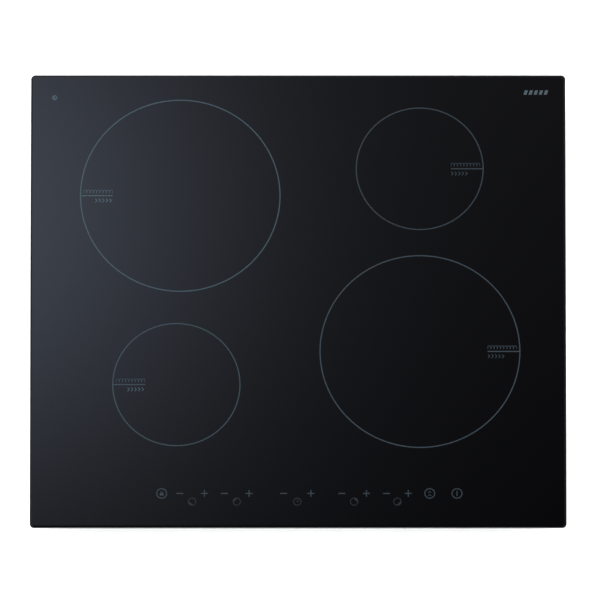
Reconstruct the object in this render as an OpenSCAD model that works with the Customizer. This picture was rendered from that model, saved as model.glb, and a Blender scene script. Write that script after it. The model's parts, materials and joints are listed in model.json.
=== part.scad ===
// Built-in induction cooktop with four cooking zones.
// Origin: centre of the plane where the cooktop rests on the worktop.
// +X to the user's right, +Y to the rear, +Z up. The controls are at the front, -Y.

/* [Glass plate] */
// Width of the glass, side to side
glass_w = 590; // [588:1:600]
// Depth of the glass, front to rear
glass_d = 520; // [518:1:530]
// Thickness of the glass
glass_t = 4; // [4:0.5:6]
// Radius of the glass corners in plan
glass_corner_r = 4.5; // [4:0.5:12]
// Height and width of the ground bevel along the top edge
glass_bevel = 1.2; // [0.5:0.1:1.5]

/* [Cooking zones] */
// Diameter of the two large printed rings
large_zone_dia = 220; // [210:1:220]
// Diameter of the two small printed rings
small_zone_dia = 140; // [130:1:140]
// Width of the printed lines
line_w = 1.2; // [0.8:0.1:1.6]
// Thickness of the printed enamel
print_t = 0.1; // [0.1:0.05:0.2]

/* [Worktop] */
// Width of the worktop cut-out
cutout_w = 560; // [560:1:562]
// Depth of the worktop cut-out
cutout_d = 490; // [490:1:492]
// Thickness of the sealing tape between glass and worktop
seal_t = 2; // [2:0.1:2.5]
// Width of the sealing tape
seal_w = 10; // [8:0.5:10]

/* [Tray] */
// Depth of the tray below the worktop plane
tray_depth = 50; // [50:0.5:54]
// Gap between the tray and the edge of the cut-out
tray_gap = 3; // [2.5:0.5:3]
// Thickness of the tray sheet
sheet_t = 1; // [0.8:0.1:1]

/* [Controls] */
// Distance from the middle of the glass to the row of keys
key_row = 221; // [219:0.5:222]
// Diameter of the ring printed round a single key
key_dia = 12; // [11:0.5:13]

/* [Blowers] */
// Radius of the impellers
impeller_r = 42; // [38:1:42]
// Number of blades on each impeller
blade_count = 24; // [12:1:30]

/* [Hidden] */
$fn = 64;
hull_fn = 32;
tiny = 0.01;

// Colours
ink = [0.42, 0.49, 0.53];
glass_black = [0.03, 0.03, 0.04];
zinc = [0.72, 0.74, 0.75];
aluminium = [0.80, 0.81, 0.82];
board_green = [0.10, 0.36, 0.20];
copper = [0.72, 0.40, 0.22];
black_plastic = [0.08, 0.08, 0.09];
grey_plastic = [0.30, 0.31, 0.33];

// Heights, measured from the worktop plane
glass_bottom = seal_t;
glass_top_z = glass_bottom + glass_t;
tray_bottom = -tray_depth;
floor_z = tray_bottom + sheet_t;
ledge_z = tray_bottom + 8;
frame_t = 1;
frame_lift = 0.2;
skirt_h = 10;

// Tray and frame in plan
tray_w = cutout_w - 2 * tray_gap;
tray_d = cutout_d - 2 * tray_gap;
tray_corner_r = 4;
well_w = tray_w - 60;
frame_band = 14;

// Stack of one coil, from the glass down
mica_t = 0.8;
winding_h = 5;
former_t = 3;
ferrite_t = 5;
mica_z = glass_bottom - mica_t;
winding_z = mica_z - winding_h;
former_z = winding_z - former_t;
ferrite_z = former_z - ferrite_t;
carrier_t = 1;
carrier_z = -17;
carrier_top = carrier_z + carrier_t;
hub_r = 20;
hub_hole_r = 14;
coil_inner_r = 22;
leg_h = 2;
leg_r = 5;

// Circuit boards
board_t = 1.6;
board_z = floor_z + 5;
board_top = board_z + board_t;

// Zones: centre x, centre y, printed diameter, number of ferrite bars, angle of the free sector
rear_left = [-130, 120.6, large_zone_dia, 8, 225];
rear_right = [134, 151.6, small_zone_dia, 6, 300];
front_left = [-134, -96.4, small_zone_dia, 6, 180];
front_right = [134, -58.4, large_zone_dia, 8, 315];
zones = [rear_left, rear_right, front_left, front_right];

function former_r(zone) = zone[2] / 2 - (zone[2] > 180 ? 5 : 3);
function leg_angles(zone) = zone[3] == 8 ? [0, 90, 180, 270] : [0, 120, 240];
function leg_radius(zone) = former_r(zone) - 12;
function lead_radius(zone) = former_r(zone) - 14;
function lead_x(zone) = zone[0] + lead_radius(zone) * cos(zone[4]);
function lead_y(zone) = zone[1] + lead_radius(zone) * sin(zone[4]);

// Single keys, pairs of minus and plus keys, and their indicators along the front row
lock_x = -150;
boost_x = 144.5;
power_x = 174.5;
pairs = [[-130, -103], [-81, -54], [-16, 14], [48, 75], [97, 121]];
indicator_r = 4.5;
indicator_y = -key_row - 9.4;
zone_indicators = [[0, 225], [1, 135], [3, 45], [4, 315]];

// Parts under the glass
blower_x = 150;
blower_y = 165;
inlet_r = 40;
blower_bottom = floor_z + 1.5;
blower_h = 27;
blower_wall = 1.5;
scroll_r = impeller_r + 10;
shaft_r = 1.5;
running_gap = 0.05;
board_x = 158;
board_y = -26;
board_w = 164;
board_d = 248;
filter_y = 116;
filter_w = 120;
filter_d = 112;
sink_x = 123;
sink_y = 31;
sink_w = 46;
sink_l = 122;
fin_top = -21;
post_r = 4;
carrier_left_posts = [[-238, -165], [-16, -165], [-16, 30], [-64, 225], [-238, 225], [-238, 108]];
board_holes = [[-232, -142], [-84, -142], [-232, 90], [-84, 90]];
filter_holes = [[-54, 66], [54, 66], [-54, 166], [54, 166]];

// Clamps that swing out under the worktop
clamp_x = tray_w / 2 - 15;
clamp_y = 150;
clamp_t = 2;
clamp_w = 16;
clamp_reach = 48;
clamp_top = ledge_z - 0.3;
clamp_pin_r = 2.6;

// Terminal compartment in the rear wall
box_w = 104;
box_rear = tray_d / 2;
box_depth = 48;
box_top = -skirt_h - 0.5;
box_wall = 2;
ear_w = 5;
hinge_y = box_rear - 2;
hinge_z = floor_z + box_wall + 2.3;
hinge_pin_r = 1.2;
cover_t = 2;
cover_w = 92;
cover_h = 31;
gland_x = 30;
gland_y = box_rear - 15;
gland_bore_r = 6;

// Control unit under the front of the glass
ui_w = 380;
ui_d = 36;
ui_y = -tray_d / 2 + 21;
ui_board_top = -4.4;
ui_board_bottom = ui_board_top - board_t;

// Drop from under a coil former to the power board, as [step along y, z]
lead_route = [[0, former_z], [0, -14], [-2, -22], [-7, -29], [-12, -35], [-14, -39], [-14, board_top]];
// From the terminal block to the filter board, as [y, z]
mains_route = [[box_rear - box_depth + box_wall, -36], [188, -36], [181, -36.6], [174, -38.4],
    [170, -40], [168, -41.5], [168, board_top]];
// From the control unit to the filter board, as [y, z]
ribbon_route = [[-209, ui_board_bottom], [-209, -16], [-207, -26], [-200, -33], [-190, -36],
    [-100, -37], [0, -37], [50, -37], [60, -37.6], [66, -39.6], [67, -41], [67, board_top]];

// ---------------------------------------------------------------- shared shapes

module rounded_rect(w, d, r) {
    square([w - 2 * r, d], center = true);
    square([w, d - 2 * r], center = true);
    for (sx = [-1, 1], sy = [-1, 1])
        translate([sx * (w / 2 - r), sy * (d / 2 - r)])
            circle(r);
}

module slab(w, d, r, z0, z1) {
    translate([0, 0, z0])
        linear_extrude(z1 - z0)
            rounded_rect(w, d, r);
}

module band(w, d, r, width, z0, z1) {
    difference() {
        slab(w, d, r, z0, z1);
        slab(w - 2 * width, d - 2 * width, max(r - width, 0.5), z0 - 1, z1 + 1);
    }
}

module block(size, z0) {
    translate([-size.x / 2, -size.y / 2, z0])
        cube(size);
}

module disc(r, z0, z1) {
    translate([0, 0, z0])
        cylinder(r = r, h = z1 - z0);
}

module ring_line(r, w) {
    difference() {
        circle(r + w / 2);
        circle(r - w / 2);
    }
}

module mirrored_pair() {
    children();
    mirror([1, 0, 0])
        children();
}

// Pan-head screw: the head stands on z = 0 and the shank goes down
module pan_screw(head_r, head_h, shank_r, shank_l) {
    cylinder(r = head_r, h = head_h);
    translate([0, 0, -shank_l])
        cylinder(r = shank_r, h = shank_l + tiny);
}

// Closed solid swept along points [y, z] at one x, from a section of points [across, up]
module planar_sweep(x, path, section) {
    n = len(path);
    m = len(section);
    steps = [for (i = [0 : n - 1]) path[min(i + 1, n - 1)] - path[max(i - 1, 0)]];
    dirs = [for (s = steps) s / norm(s)];
    rings = [for (i = [0 : n - 1]) for (p = section)
        [x + p.x, path[i].x - dirs[i].y * p.y, path[i].y + dirs[i].x * p.y]];
    sides = [for (i = [0 : n - 2]) for (j = [0 : m - 1])
        [i * m + j, i * m + (j + 1) % m, (i + 1) * m + (j + 1) % m, (i + 1) * m + j]];
    start_cap = [[for (j = [m - 1 : -1 : 0]) j]];
    end_cap = [[for (j = [0 : m - 1]) (n - 1) * m + j]];
    polyhedron(points = rings, faces = concat(sides, start_cap, end_cap), convexity = 4);
}

function circle_section(r) = [for (a = [0 : 45 : 315]) [r * cos(a), r * sin(a)]];

// ---------------------------------------------------------------- glass and printing

module glass_top() {
    color(glass_black)
        hull($fn = hull_fn) {
            slab(glass_w - 0.8, glass_d - 0.8, glass_corner_r, glass_bottom, glass_bottom + tiny);
            slab(glass_w, glass_d, glass_corner_r, glass_bottom + 0.4, glass_top_z - glass_bevel);
            slab(glass_w - 2 * glass_bevel, glass_d - 2 * glass_bevel, glass_corner_r - glass_bevel,
                glass_top_z - tiny, glass_top_z);
        }
}

// Row of arches that stands for an induction coil
module coil_symbol(length, height, count) {
    pitch = length / count;
    stroke = 0.55;
    for (i = [0 : count - 1])
        translate([(i + 0.5) * pitch, 0]) {
            r = pitch / 2 - stroke / 2 + 0.1;
            intersection() {
                translate([0, height - r - stroke / 2])
                    ring_line(r, stroke);
                translate([-r - stroke, height - r - stroke / 2])
                    square([2 * (r + stroke), r + stroke]);
            }
            for (sx = [-1, 1])
                translate([sx * r - stroke / 2, 0])
                    square([stroke, height - r - stroke / 2 + tiny]);
        }
}

// Row of chevrons that stands for extra power
module boost_symbol(length, height, count) {
    pitch = length / count;
    stroke = 0.8;
    for (i = [0 : count - 1])
        translate([i * pitch, 0])
            polygon([[0, 0], [stroke, 0], [pitch * 0.7, height / 2], [stroke, height], [0, height],
                [pitch * 0.7 - stroke, height / 2]]);
}

module zone_mark(zone) {
    side = zone[0] > 0 ? 1 : -1;
    r = zone[2] / 2;
    inner_x = side * (r - 35.5);
    translate([zone[0], zone[1], glass_top_z])
        linear_extrude(print_t) {
            ring_line(r, line_w, $fn = 128);
            translate([min(inner_x, side * r), -line_w / 2])
                square([35.5, line_w]);
            translate([side > 0 ? inner_x : inner_x - 32, 2.8])
                coil_symbol(32, 4, 9);
            translate([side > 0 ? inner_x : inner_x - 19.5, -7.6])
                boost_symbol(19.5, 4.2, 5);
        }
}

// Row of slanted bars near the rear right corner and a small ring near the rear left corner
module corner_marks() {
    bar = 3.4;
    translate([0, 0, glass_top_z])
        linear_extrude(print_t) {
            for (i = [0 : 4])
                translate([248.6 + i * 5.6, 237])
                    polygon([[0, 0], [bar, 0], [bar + 1.6, 5], [1.6, 5]]);
            translate([-268.8, 233.5])
                ring_line(2.4, 0.9);
        }
}

module zone_marks() {
    color(ink) {
        for (zone = zones)
            zone_mark(zone);
        corner_marks();
    }
}

module plus_minus(pair) {
    long = 7.6;
    for (x = pair)
        translate([x, -key_row])
            square([long, line_w], center = true);
    translate([pair[1], -key_row])
        square([line_w, long], center = true);
}

module key_ring(x) {
    translate([x, -key_row])
        ring_line(key_dia / 2 - 0.55, 1.1);
}

module padlock_symbol() {
    translate([0, -1])
        square([4, 3], center = true);
    translate([0, 0.5]) {
        intersection() {
            ring_line(1.3, 0.6);
            translate([-2, 0])
                square([4, 2]);
        }
    }
}

// Ring with one filled segment on the side that names a zone
module zone_indicator(x, angle) {
    translate([x, indicator_y]) {
        ring_line(indicator_r - 0.4, 0.8);
        intersection() {
            circle(indicator_r - 0.2);
            rotate(angle)
                translate([2.2, -indicator_r])
                    square([indicator_r, 2 * indicator_r]);
        }
    }
}

module clock_indicator(x) {
    translate([x, indicator_y]) {
        ring_line(indicator_r - 0.4, 0.8);
        translate([-0.3, -0.3])
            square([0.6, 3]);
        translate([-0.3, -0.3])
            square([2.2, 0.6]);
    }
}

function pair_middle(i) = (pairs[i].x + pairs[i].y) / 2;

module control_marks() {
    color(ink)
        translate([0, 0, glass_top_z])
            linear_extrude(print_t) {
                for (x = [lock_x, boost_x, power_x])
                    key_ring(x);
                translate([lock_x, -key_row])
                    padlock_symbol();
                translate([boost_x, -key_row - 2.4])
                    rotate(90)
                        translate([0, -2.2])
                            boost_symbol(5.2, 4.4, 2);
                translate([power_x, -key_row])
                    square([1, 6], center = true);
                for (pair = pairs)
                    plus_minus(pair);
                for (item = zone_indicators)
                    zone_indicator(pair_middle(item.x), item.y);
                clock_indicator(pair_middle(2));
            }
}

// ---------------------------------------------------------------- seal, adhesive and frame

module worktop_seal() {
    color([0.13, 0.13, 0.14])
        band(glass_w - 6, glass_d - 6, 5, seal_w, 0, seal_t);
}

// Window in the front band so that the indicator lamps shine through
module lamp_window(z0, z1) {
    translate([0, -tray_d / 2 + 13, z0])
        block([366, 16, z1 - z0], 0);
}

module glass_adhesive() {
    color([0.20, 0.20, 0.21])
        difference() {
            band(tray_w - 2, tray_d - 2, 4, 8, frame_t, glass_bottom);
            lamp_window(frame_t - 1, glass_bottom + 1);
        }
}

// Screw places round the walls: [x, y, angle of the outward direction]
function wall_screws() = concat(
    [for (y = [-180, 0, 180]) for (s = [-1, 1]) [s * tray_w / 2, y, s > 0 ? 0 : 180]],
    [for (x = [-190, -90, 90, 190]) for (s = [-1, 1]) [x, s * tray_d / 2, s > 0 ? 90 : 270]]
);

module wall_holes(r) {
    for (p = wall_screws())
        translate([p.x, p.y, -skirt_h / 2])
            rotate([0, 0, p.z])
                rotate([0, 90, 0])
                    cylinder(r = r, h = 12, center = true);
}

module glass_frame() {
    color(zinc)
        difference() {
            union() {
                band(tray_w, tray_d, tray_corner_r, frame_band, frame_lift, frame_t);
                band(tray_w - 2 * sheet_t, tray_d - 2 * sheet_t, tray_corner_r - sheet_t, 1,
                    -skirt_h, frame_lift + tiny);
            }
            lamp_window(frame_lift - tiny, frame_t + 1);
            wall_holes(1.8);
        }
}

// ---------------------------------------------------------------- tray

module tray_body() {
    difference() {
        union() {
            slab(well_w, tray_d, tray_corner_r, tray_bottom, 0);
            slab(tray_w, tray_d, tray_corner_r, ledge_z, 0);
        }
        slab(well_w - 2 * sheet_t, tray_d - 2 * sheet_t, tray_corner_r - sheet_t, floor_z, 1);
        slab(tray_w - 2 * sheet_t, tray_d - 2 * sheet_t, tray_corner_r - sheet_t,
            ledge_z + sheet_t, 1);
    }
}

module slot_row(count, pitch, size) {
    for (i = [0 : count - 1])
        translate([(i - (count - 1) / 2) * pitch, 0, 0])
            cube(size, center = true);
}

module wall_vents() {
    slot = [16, 6, 3];
    for (z = [-20, -26, -32])
        for (x = [-120, 120])
            translate([x, -tray_d / 2, z])
                slot_row(7, 22, slot);
    for (z = [-20, -26, -32])
        for (x = [-150, 150])
            translate([x, tray_d / 2, z])
                slot_row(5, 22, slot);
    for (z = [-20, -26])
        for (sx = [-1, 1])
            translate([sx * tray_w / 2, 0, z])
                rotate([0, 0, 90])
                    slot_row(9, 22, slot);
}

module floor_vents() {
    for (x = [-150, 150])
        translate([x, -190, floor_z])
            slot_row(12, 9, [3, 36, 6]);
}

module base_tray() {
    color(zinc)
        difference() {
            union() {
                tray_body();
                for (p = board_holes)
                    mirrored_pair()
                        translate([p.x, p.y, 0])
                            disc(3.5, floor_z - tiny, board_z);
                for (p = filter_holes)
                    translate([p.x, p.y, 0])
                        disc(3.5, floor_z - tiny, board_z);
                for (sx = [-1, 1], sy = [-1, 1])
                    translate([sx * clamp_x, sy * clamp_y, 0])
                        disc(4.5, ledge_z + sheet_t - tiny, ledge_z + 4);
            }
            for (p = board_holes)
                mirrored_pair()
                    translate([p.x, p.y, 0])
                        disc(1.5, floor_z + 0.2, board_z + 1);
            for (p = filter_holes)
                translate([p.x, p.y, 0])
                    disc(1.5, floor_z + 0.2, board_z + 1);
            for (sx = [-1, 1], sy = [-1, 1])
                translate([sx * clamp_x, sy * clamp_y, 0])
                    disc(2.05, ledge_z - 1, ledge_z + 5);
            for (sx = [-1, 1])
                translate([sx * blower_x, blower_y, 0])
                    disc(inlet_r, tray_bottom - 1, floor_z + 1);
            translate([0, box_rear, floor_z])
                block([box_w + 0.6, 6, box_top - floor_z + 0.3], 0);
            translate([gland_x, gland_y, 0])
                disc(8, tray_bottom - 1, floor_z + 1);
            wall_vents();
            floor_vents();
            wall_holes(2);
        }
}

module frame_screws() {
    color(zinc)
        for (p = wall_screws())
            translate([p.x, p.y, -skirt_h / 2])
                rotate([0, 0, p.z])
                    rotate([0, 90, 0])
                        pan_screw(3.4, 1.7, 1.75, 2.6);
}

// Round inlet grille: rings tied by spokes, with a flange that rests on the tray floor
module fan_grille() {
    grille_r = inlet_r - 0.3;
    for (r = [6 : 5.6 : 35])
        difference() {
            disc(r + 1.1, tray_bottom, floor_z + tiny);
            disc(r - 1.1, tray_bottom - 1, floor_z + 1);
        }
    difference() {
        disc(grille_r, tray_bottom, floor_z + tiny);
        disc(grille_r - 1.8, tray_bottom - 1, floor_z + 1);
    }
    difference() {
        disc(inlet_r + 4, floor_z, blower_bottom);
        disc(grille_r - 1.8, floor_z - 1, blower_bottom + 1);
    }
    for (a = [0 : 60 : 120])
        rotate([0, 0, a])
            block([2 * grille_r - 1, 2.2, sheet_t], tray_bottom);
}

module fan_grilles() {
    color(black_plastic)
        for (sx = [-1, 1])
            translate([sx * blower_x, blower_y, 0])
                fan_grille();
}

// ---------------------------------------------------------------- worktop clamps

// Flat arm that turns about its pivot and points along +Y, with a rib and a finger tab below
module clamp_arm() {
    color(zinc)
        translate([0, 0, clamp_top - clamp_t])
            difference() {
                union() {
                    linear_extrude(clamp_t) {
                        circle(clamp_w / 2);
                        translate([-clamp_w / 2, 0])
                            square([clamp_w, clamp_reach]);
                        translate([0, clamp_reach])
                            circle(clamp_w / 2);
                    }
                    translate([-1, 9, -1.6])
                        cube([2, clamp_reach - 16, 1.6 + tiny]);
                    translate([-clamp_w / 4, clamp_reach, -3.2])
                        cube([clamp_w / 2, 1.6, 3.2 + tiny]);
                }
                disc(clamp_pin_r + running_gap, -2, clamp_t + 1);
            }
}

module placed_clamp(sx, sy) {
    translate([sx * clamp_x, sy * clamp_y, 0])
        rotate([0, 0, sy < 0 ? 0 : 180])
            clamp_arm();
}

// Shoulder screws that hold the clamps and let them turn
module clamp_pivot_screws() {
    color(aluminium)
        for (sx = [-1, 1], sy = [-1, 1])
            translate([sx * clamp_x, sy * clamp_y, 0]) {
                head_top = clamp_top - clamp_t - 0.3;
                difference() {
                    disc(5, head_top - 2.6, head_top);
                    block([7, 1.2, 2], head_top - 3.6);
                }
                disc(clamp_pin_r, head_top - tiny, ledge_z);
                disc(2, ledge_z - tiny, ledge_z + 4.5);
            }
}

// ---------------------------------------------------------------- coils

module at_zone(zone) {
    translate([zone[0], zone[1], 0])
        children();
}

module around(angles, radius) {
    for (a = angles)
        rotate([0, 0, a])
            translate([radius, 0, 0])
                children();
}

function ferrite_angles(zone) = [for (i = [0 : zone[3] - 1]) (i + 0.5) * 360 / zone[3]];
function ferrite_length(zone) = former_r(zone) - 38;

module coil_former(zone) {
    r = former_r(zone);
    rib_l = ferrite_length(zone);
    color([0.86, 0.85, 0.80])
        at_zone(zone)
            difference() {
                union() {
                    disc(r, former_z, winding_z);
                    difference() {
                        disc(r, winding_z - tiny, mica_z - 0.3);
                        disc(r - 1.8, winding_z - 1, mica_z);
                    }
                    disc(hub_r, former_z, mica_z - 0.3);
                    around(ferrite_angles(zone), 29 + rib_l / 2)
                        for (sy = [-1, 1])
                            translate([0, sy * 7, 0])
                                block([rib_l, 1.5, ferrite_t + tiny], ferrite_z);
                    around(leg_angles(zone), leg_radius(zone))
                        disc(leg_r, former_z - leg_h, former_z + tiny);
                }
                disc(hub_hole_r, former_z + 1, mica_z + 1);
                disc(hub_hole_r - 3, former_z - 1, mica_z + 1);
                around([for (a = ferrite_angles(zone)) a + 180 / zone[3]], r * 0.55)
                    block([r * 0.3, 5, former_t + 2], former_z - 1);
            }
}

// Flat coil of stranded wire: grooves part its turns
module coil_winding(zone) {
    r_out = former_r(zone) - 3;
    turn = (r_out - coil_inner_r) / floor((r_out - coil_inner_r) / 4);
    color(copper)
        at_zone(zone)
            translate([0, 0, winding_z])
                rotate_extrude()
                    difference() {
                        translate([coil_inner_r, 0])
                            square([r_out - coil_inner_r, winding_h]);
                        for (x = [coil_inner_r + turn : turn : r_out - turn / 2])
                            translate([x, winding_h])
                                rotate(45)
                                    square(1.2, center = true);
                    }
}

module ferrite_bars(zone) {
    bar_l = ferrite_length(zone);
    color([0.17, 0.17, 0.18])
        at_zone(zone)
            around(ferrite_angles(zone), 29 + bar_l / 2)
                block([bar_l, 12.3, ferrite_t], ferrite_z);
}

module mica_discs() {
    color([0.80, 0.77, 0.66])
        for (zone = zones)
            at_zone(zone)
                difference() {
                    disc(former_r(zone) - 1, mica_z, glass_bottom);
                    disc(hub_hole_r, mica_z - 1, glass_bottom + 1);
                }
}

module temp_sensors() {
    color([0.75, 0.74, 0.70])
        for (zone = zones)
            at_zone(zone) {
                disc(5.5, former_z + 2, glass_bottom);
                disc(hub_hole_r - 0.3, former_z + 1, former_z + 2.2);
                for (sx = [-1, 1])
                    translate([sx * 2, 0, 0])
                        disc(0.8, former_z - 4, former_z + 1 + tiny);
            }
}

// Spring under a coil leg: a thin sleeve with round coils
module leg_spring(height) {
    wire_r = 0.6;
    rotate_extrude() {
        translate([3.2, 0])
            square([0.4, height]);
        for (i = [0 : 4])
            translate([3.6, wire_r + i * (height - 2 * wire_r) / 4])
                circle(wire_r, $fn = 24);
    }
}

module coil_springs() {
    color(aluminium)
        for (zone = zones)
            at_zone(zone)
                around(leg_angles(zone), leg_radius(zone))
                    translate([0, 0, carrier_top])
                        leg_spring(former_z - leg_h - carrier_top);
}

module carrier_cutouts(left) {
    for (zone = zones)
        if ((zone[0] < 0) == left) {
            at_zone(zone)
                disc(hub_hole_r + 8, carrier_z - 1, carrier_top + 1);
            translate([lead_x(zone), lead_y(zone), 0])
                block([22, 12, carrier_t + 2], carrier_z - 1);
        }
}

module coil_carrier(left) {
    side = left ? -1 : 1;
    color(aluminium)
        difference() {
            translate([side * 126.5, 30, 0])
                slab(235, 404, 3, carrier_z, carrier_top);
            translate([0, box_rear, 0])
                block([box_w + 6, 2 * box_depth + 8, carrier_t + 2], carrier_z - 1);
            carrier_cutouts(left);
            for (p = carrier_left_posts)
                translate([-side * p.x, p.y, 0])
                    disc(2, carrier_z - 1, carrier_top + 1);
        }
}

module carrier_posts() {
    color(zinc)
        mirrored_pair()
            for (p = carrier_left_posts)
                translate([p.x, p.y, 0])
                    difference() {
                        translate([0, 0, floor_z])
                            cylinder(r = post_r, h = carrier_z - floor_z, $fn = 6);
                        disc(1.5, carrier_z - 9, carrier_z + 1);
                    }
}

module inner_screws() {
    color(aluminium) {
        mirrored_pair() {
            for (p = carrier_left_posts)
                translate([p.x, p.y, carrier_top])
                    pan_screw(3, 1.8, 1.4, 6);
            for (p = board_holes)
                translate([p.x, p.y, board_top])
                    pan_screw(3, 1.8, 1.4, 6);
        }
        for (p = filter_holes)
            translate([p.x, p.y, board_top])
                pan_screw(3, 1.8, 1.4, 6);
    }
}

// ---------------------------------------------------------------- power electronics

module power_board(side) {
    color(board_green)
        difference() {
            translate([side * board_x, board_y, 0])
                slab(board_w, board_d, 3, board_z, board_top);
            for (p = board_holes)
                translate([-side * p.x, p.y, 0])
                    disc(1.8, board_z - 1, board_top + 1);
        }
}

// Extruded heatsink: base, tall side wall for the transistors, and thin fins along Y
module heatsink(side) {
    fin_pitch = 5;
    color(aluminium)
        translate([side * sink_x, sink_y - sink_l / 2, 0])
            mirror([side > 0 ? 0 : 1, 0, 0]) {
                translate([-sink_w / 2, 0, board_top])
                    cube([sink_w, sink_l, 4]);
                translate([-sink_w / 2, 0, board_top])
                    cube([4, sink_l, fin_top - board_top]);
                for (x = [-sink_w / 2 + 9 : fin_pitch : sink_w / 2 - 1])
                    translate([x, 0, board_top])
                        cube([1.6, sink_l, fin_top - board_top]);
            }
}

module package(width, height) {
    block([4.8, width, height], board_top + 4);
    for (y = [-5, 0, 5])
        translate([0, y, 0])
            block([0.8, 1.4, 4 + tiny], board_top);
}

module power_transistors() {
    package_x = sink_x - sink_w / 2 - 2.4;
    color(black_plastic)
        mirrored_pair()
            translate([-package_x, 0, 0]) {
                translate([0, -14, 0])
                    package(26, 16);
                for (y = [12 : 22 : 78])
                    translate([0, y, 0])
                        package(16, 19);
            }
}

module capacitor_box(length, width, height) {
    slab(length, width, 1.5, board_top, board_top + height);
}

module film_capacitors() {
    color([0.85, 0.70, 0.20]) {
        mirrored_pair() {
            translate([-123, -58, 0])
                capacitor_box(42, 22, 21);
            for (y = [-16, 4, 24])
                translate([-215, y, 0])
                    capacitor_box(30, 12, 19);
        }
        translate([28, 90, 0])
            capacitor_box(32, 18, 20);
        translate([28, 140, 0])
            capacitor_box(26, 12, 19);
    }
}

module toroid(r_mid, r_wire) {
    translate([0, 0, board_top + r_wire])
        rotate_extrude()
            translate([r_mid, 0])
                circle(r_wire, $fn = 32);
}

module power_chokes() {
    color(copper) {
        mirrored_pair()
            translate([-115, -112, 0])
                toroid(15, 7);
        translate([-22, 112, 0])
            toroid(18, 8);
    }
}

module filter_board() {
    color(board_green)
        difference() {
            translate([0, filter_y, 0])
                slab(filter_w, filter_d, 3, board_z, board_top);
            for (p = filter_holes)
                translate([p.x, p.y, 0])
                    disc(1.8, board_z - 1, board_top + 1);
        }
}

// ---------------------------------------------------------------- blowers

module at_blower(side) {
    translate([side * blower_x, blower_y, 0])
        mirror([side > 0 ? 0 : 1, 0, 0])
            children();
}

module scroll_outline(inset) {
    circle(scroll_r - inset);
    translate([-scroll_r + inset, -scroll_r - 10 - (inset > 0 ? 1 : 0)])
        square([46 - 2 * inset, scroll_r + 10]);
}

module blower_housing(side) {
    color(black_plastic)
        at_blower(side)
            difference() {
                translate([0, 0, blower_bottom])
                    linear_extrude(blower_h)
                        scroll_outline(0);
                translate([0, 0, blower_bottom + blower_wall])
                    linear_extrude(blower_h - 2 * blower_wall)
                        scroll_outline(blower_wall);
                disc(30, blower_bottom - 1, blower_bottom + blower_wall + 1);
            }
}

// Impeller: back disc, cup over the motor, slanted blades and a front ring
module impeller(side) {
    back_z = blower_bottom + blower_h - 5.5;
    front_z = blower_bottom + blower_wall + 1;
    cup_r = 17;
    blade_l = 13;
    color(grey_plastic)
        at_blower(side)
            difference() {
                union() {
                    disc(impeller_r, back_z, back_z + 1.5);
                    disc(cup_r, front_z + 5, back_z + 1);
                    difference() {
                        disc(impeller_r, front_z, front_z + 1.5);
                        disc(impeller_r - 3, front_z - 1, front_z + 2);
                    }
                    for (i = [0 : blade_count - 1])
                        rotate([0, 0, i * 360 / blade_count])
                            translate([impeller_r - 1.3, 0, 0])
                                rotate([0, 0, 28])
                                    translate([-blade_l, -0.5, front_z + 0.2])
                                        cube([blade_l, 1, back_z - front_z]);
                }
                disc(cup_r - 1.5, front_z + 6.5, back_z + 3);
                disc(shaft_r, front_z, back_z);
            }
}

module rotor_shaft(side) {
    color(zinc)
        at_blower(side)
            disc(shaft_r, blower_bottom + blower_wall + 6, blower_bottom + blower_h - 2.5);
}

// Stator round a bearing tube that hangs from the top of each housing
module blower_stators() {
    tube_top = blower_bottom + blower_h - blower_wall;
    tube_bottom = tube_top - 14;
    color(copper)
        for (side = [-1, 1])
            at_blower(side)
                difference() {
                    union() {
                        disc(3.5, tube_bottom, tube_top);
                        disc(13, tube_bottom + 2, tube_top - 4);
                    }
                    disc(shaft_r + running_gap, tube_bottom - 1, tube_top - 0.5);
                    around([0 : 60 : 300], 10)
                        block([8, 1.6, 20], tube_bottom);
                }
}

// ---------------------------------------------------------------- user interface

module ui_tray() {
    color(black_plastic)
        translate([0, ui_y, 0])
            difference() {
                slab(ui_w, ui_d, 3, -12, -0.5);
                slab(ui_w - 3, ui_d - 3, 1.5, -10.5, 1);
                translate([0, 12, 0])
                    block([24, 6, 4], -13);
            }
    color(black_plastic)
        for (x = [-180, -60, 60, 180])
            for (y = [-12, 12])
                translate([x, ui_y + y, 0])
                    disc(2.5, -10.5 - tiny, ui_board_bottom);
}

module ui_board() {
    color(board_green)
        translate([0, ui_y, 0])
            slab(ui_w - 5, ui_d - 5, 1, ui_board_bottom, ui_board_top);
}

module touch_springs() {
    height = glass_bottom - ui_board_top;
    color(aluminium)
        for (x = concat([lock_x, boost_x, power_x], [for (p = pairs) for (x = p) x]))
            translate([x, -key_row, ui_board_top])
                rotate_extrude()
                    polygon([[2.2, 0], [2.9, 0], [4.6, height], [3.9, height]]);
}

// Two-digit displays and the indicator lamps in front of them
module digit_displays() {
    color([0.12, 0.12, 0.13])
        for (i = [0 : len(pairs) - 1])
            translate([pair_middle(i), -key_row, 0]) {
                block([12, 10, 5.4], ui_board_top);
                translate([0, indicator_y + key_row, 0])
                    disc(1.5, ui_board_top, -0.5);
            }
}

// ---------------------------------------------------------------- mains terminals

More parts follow.
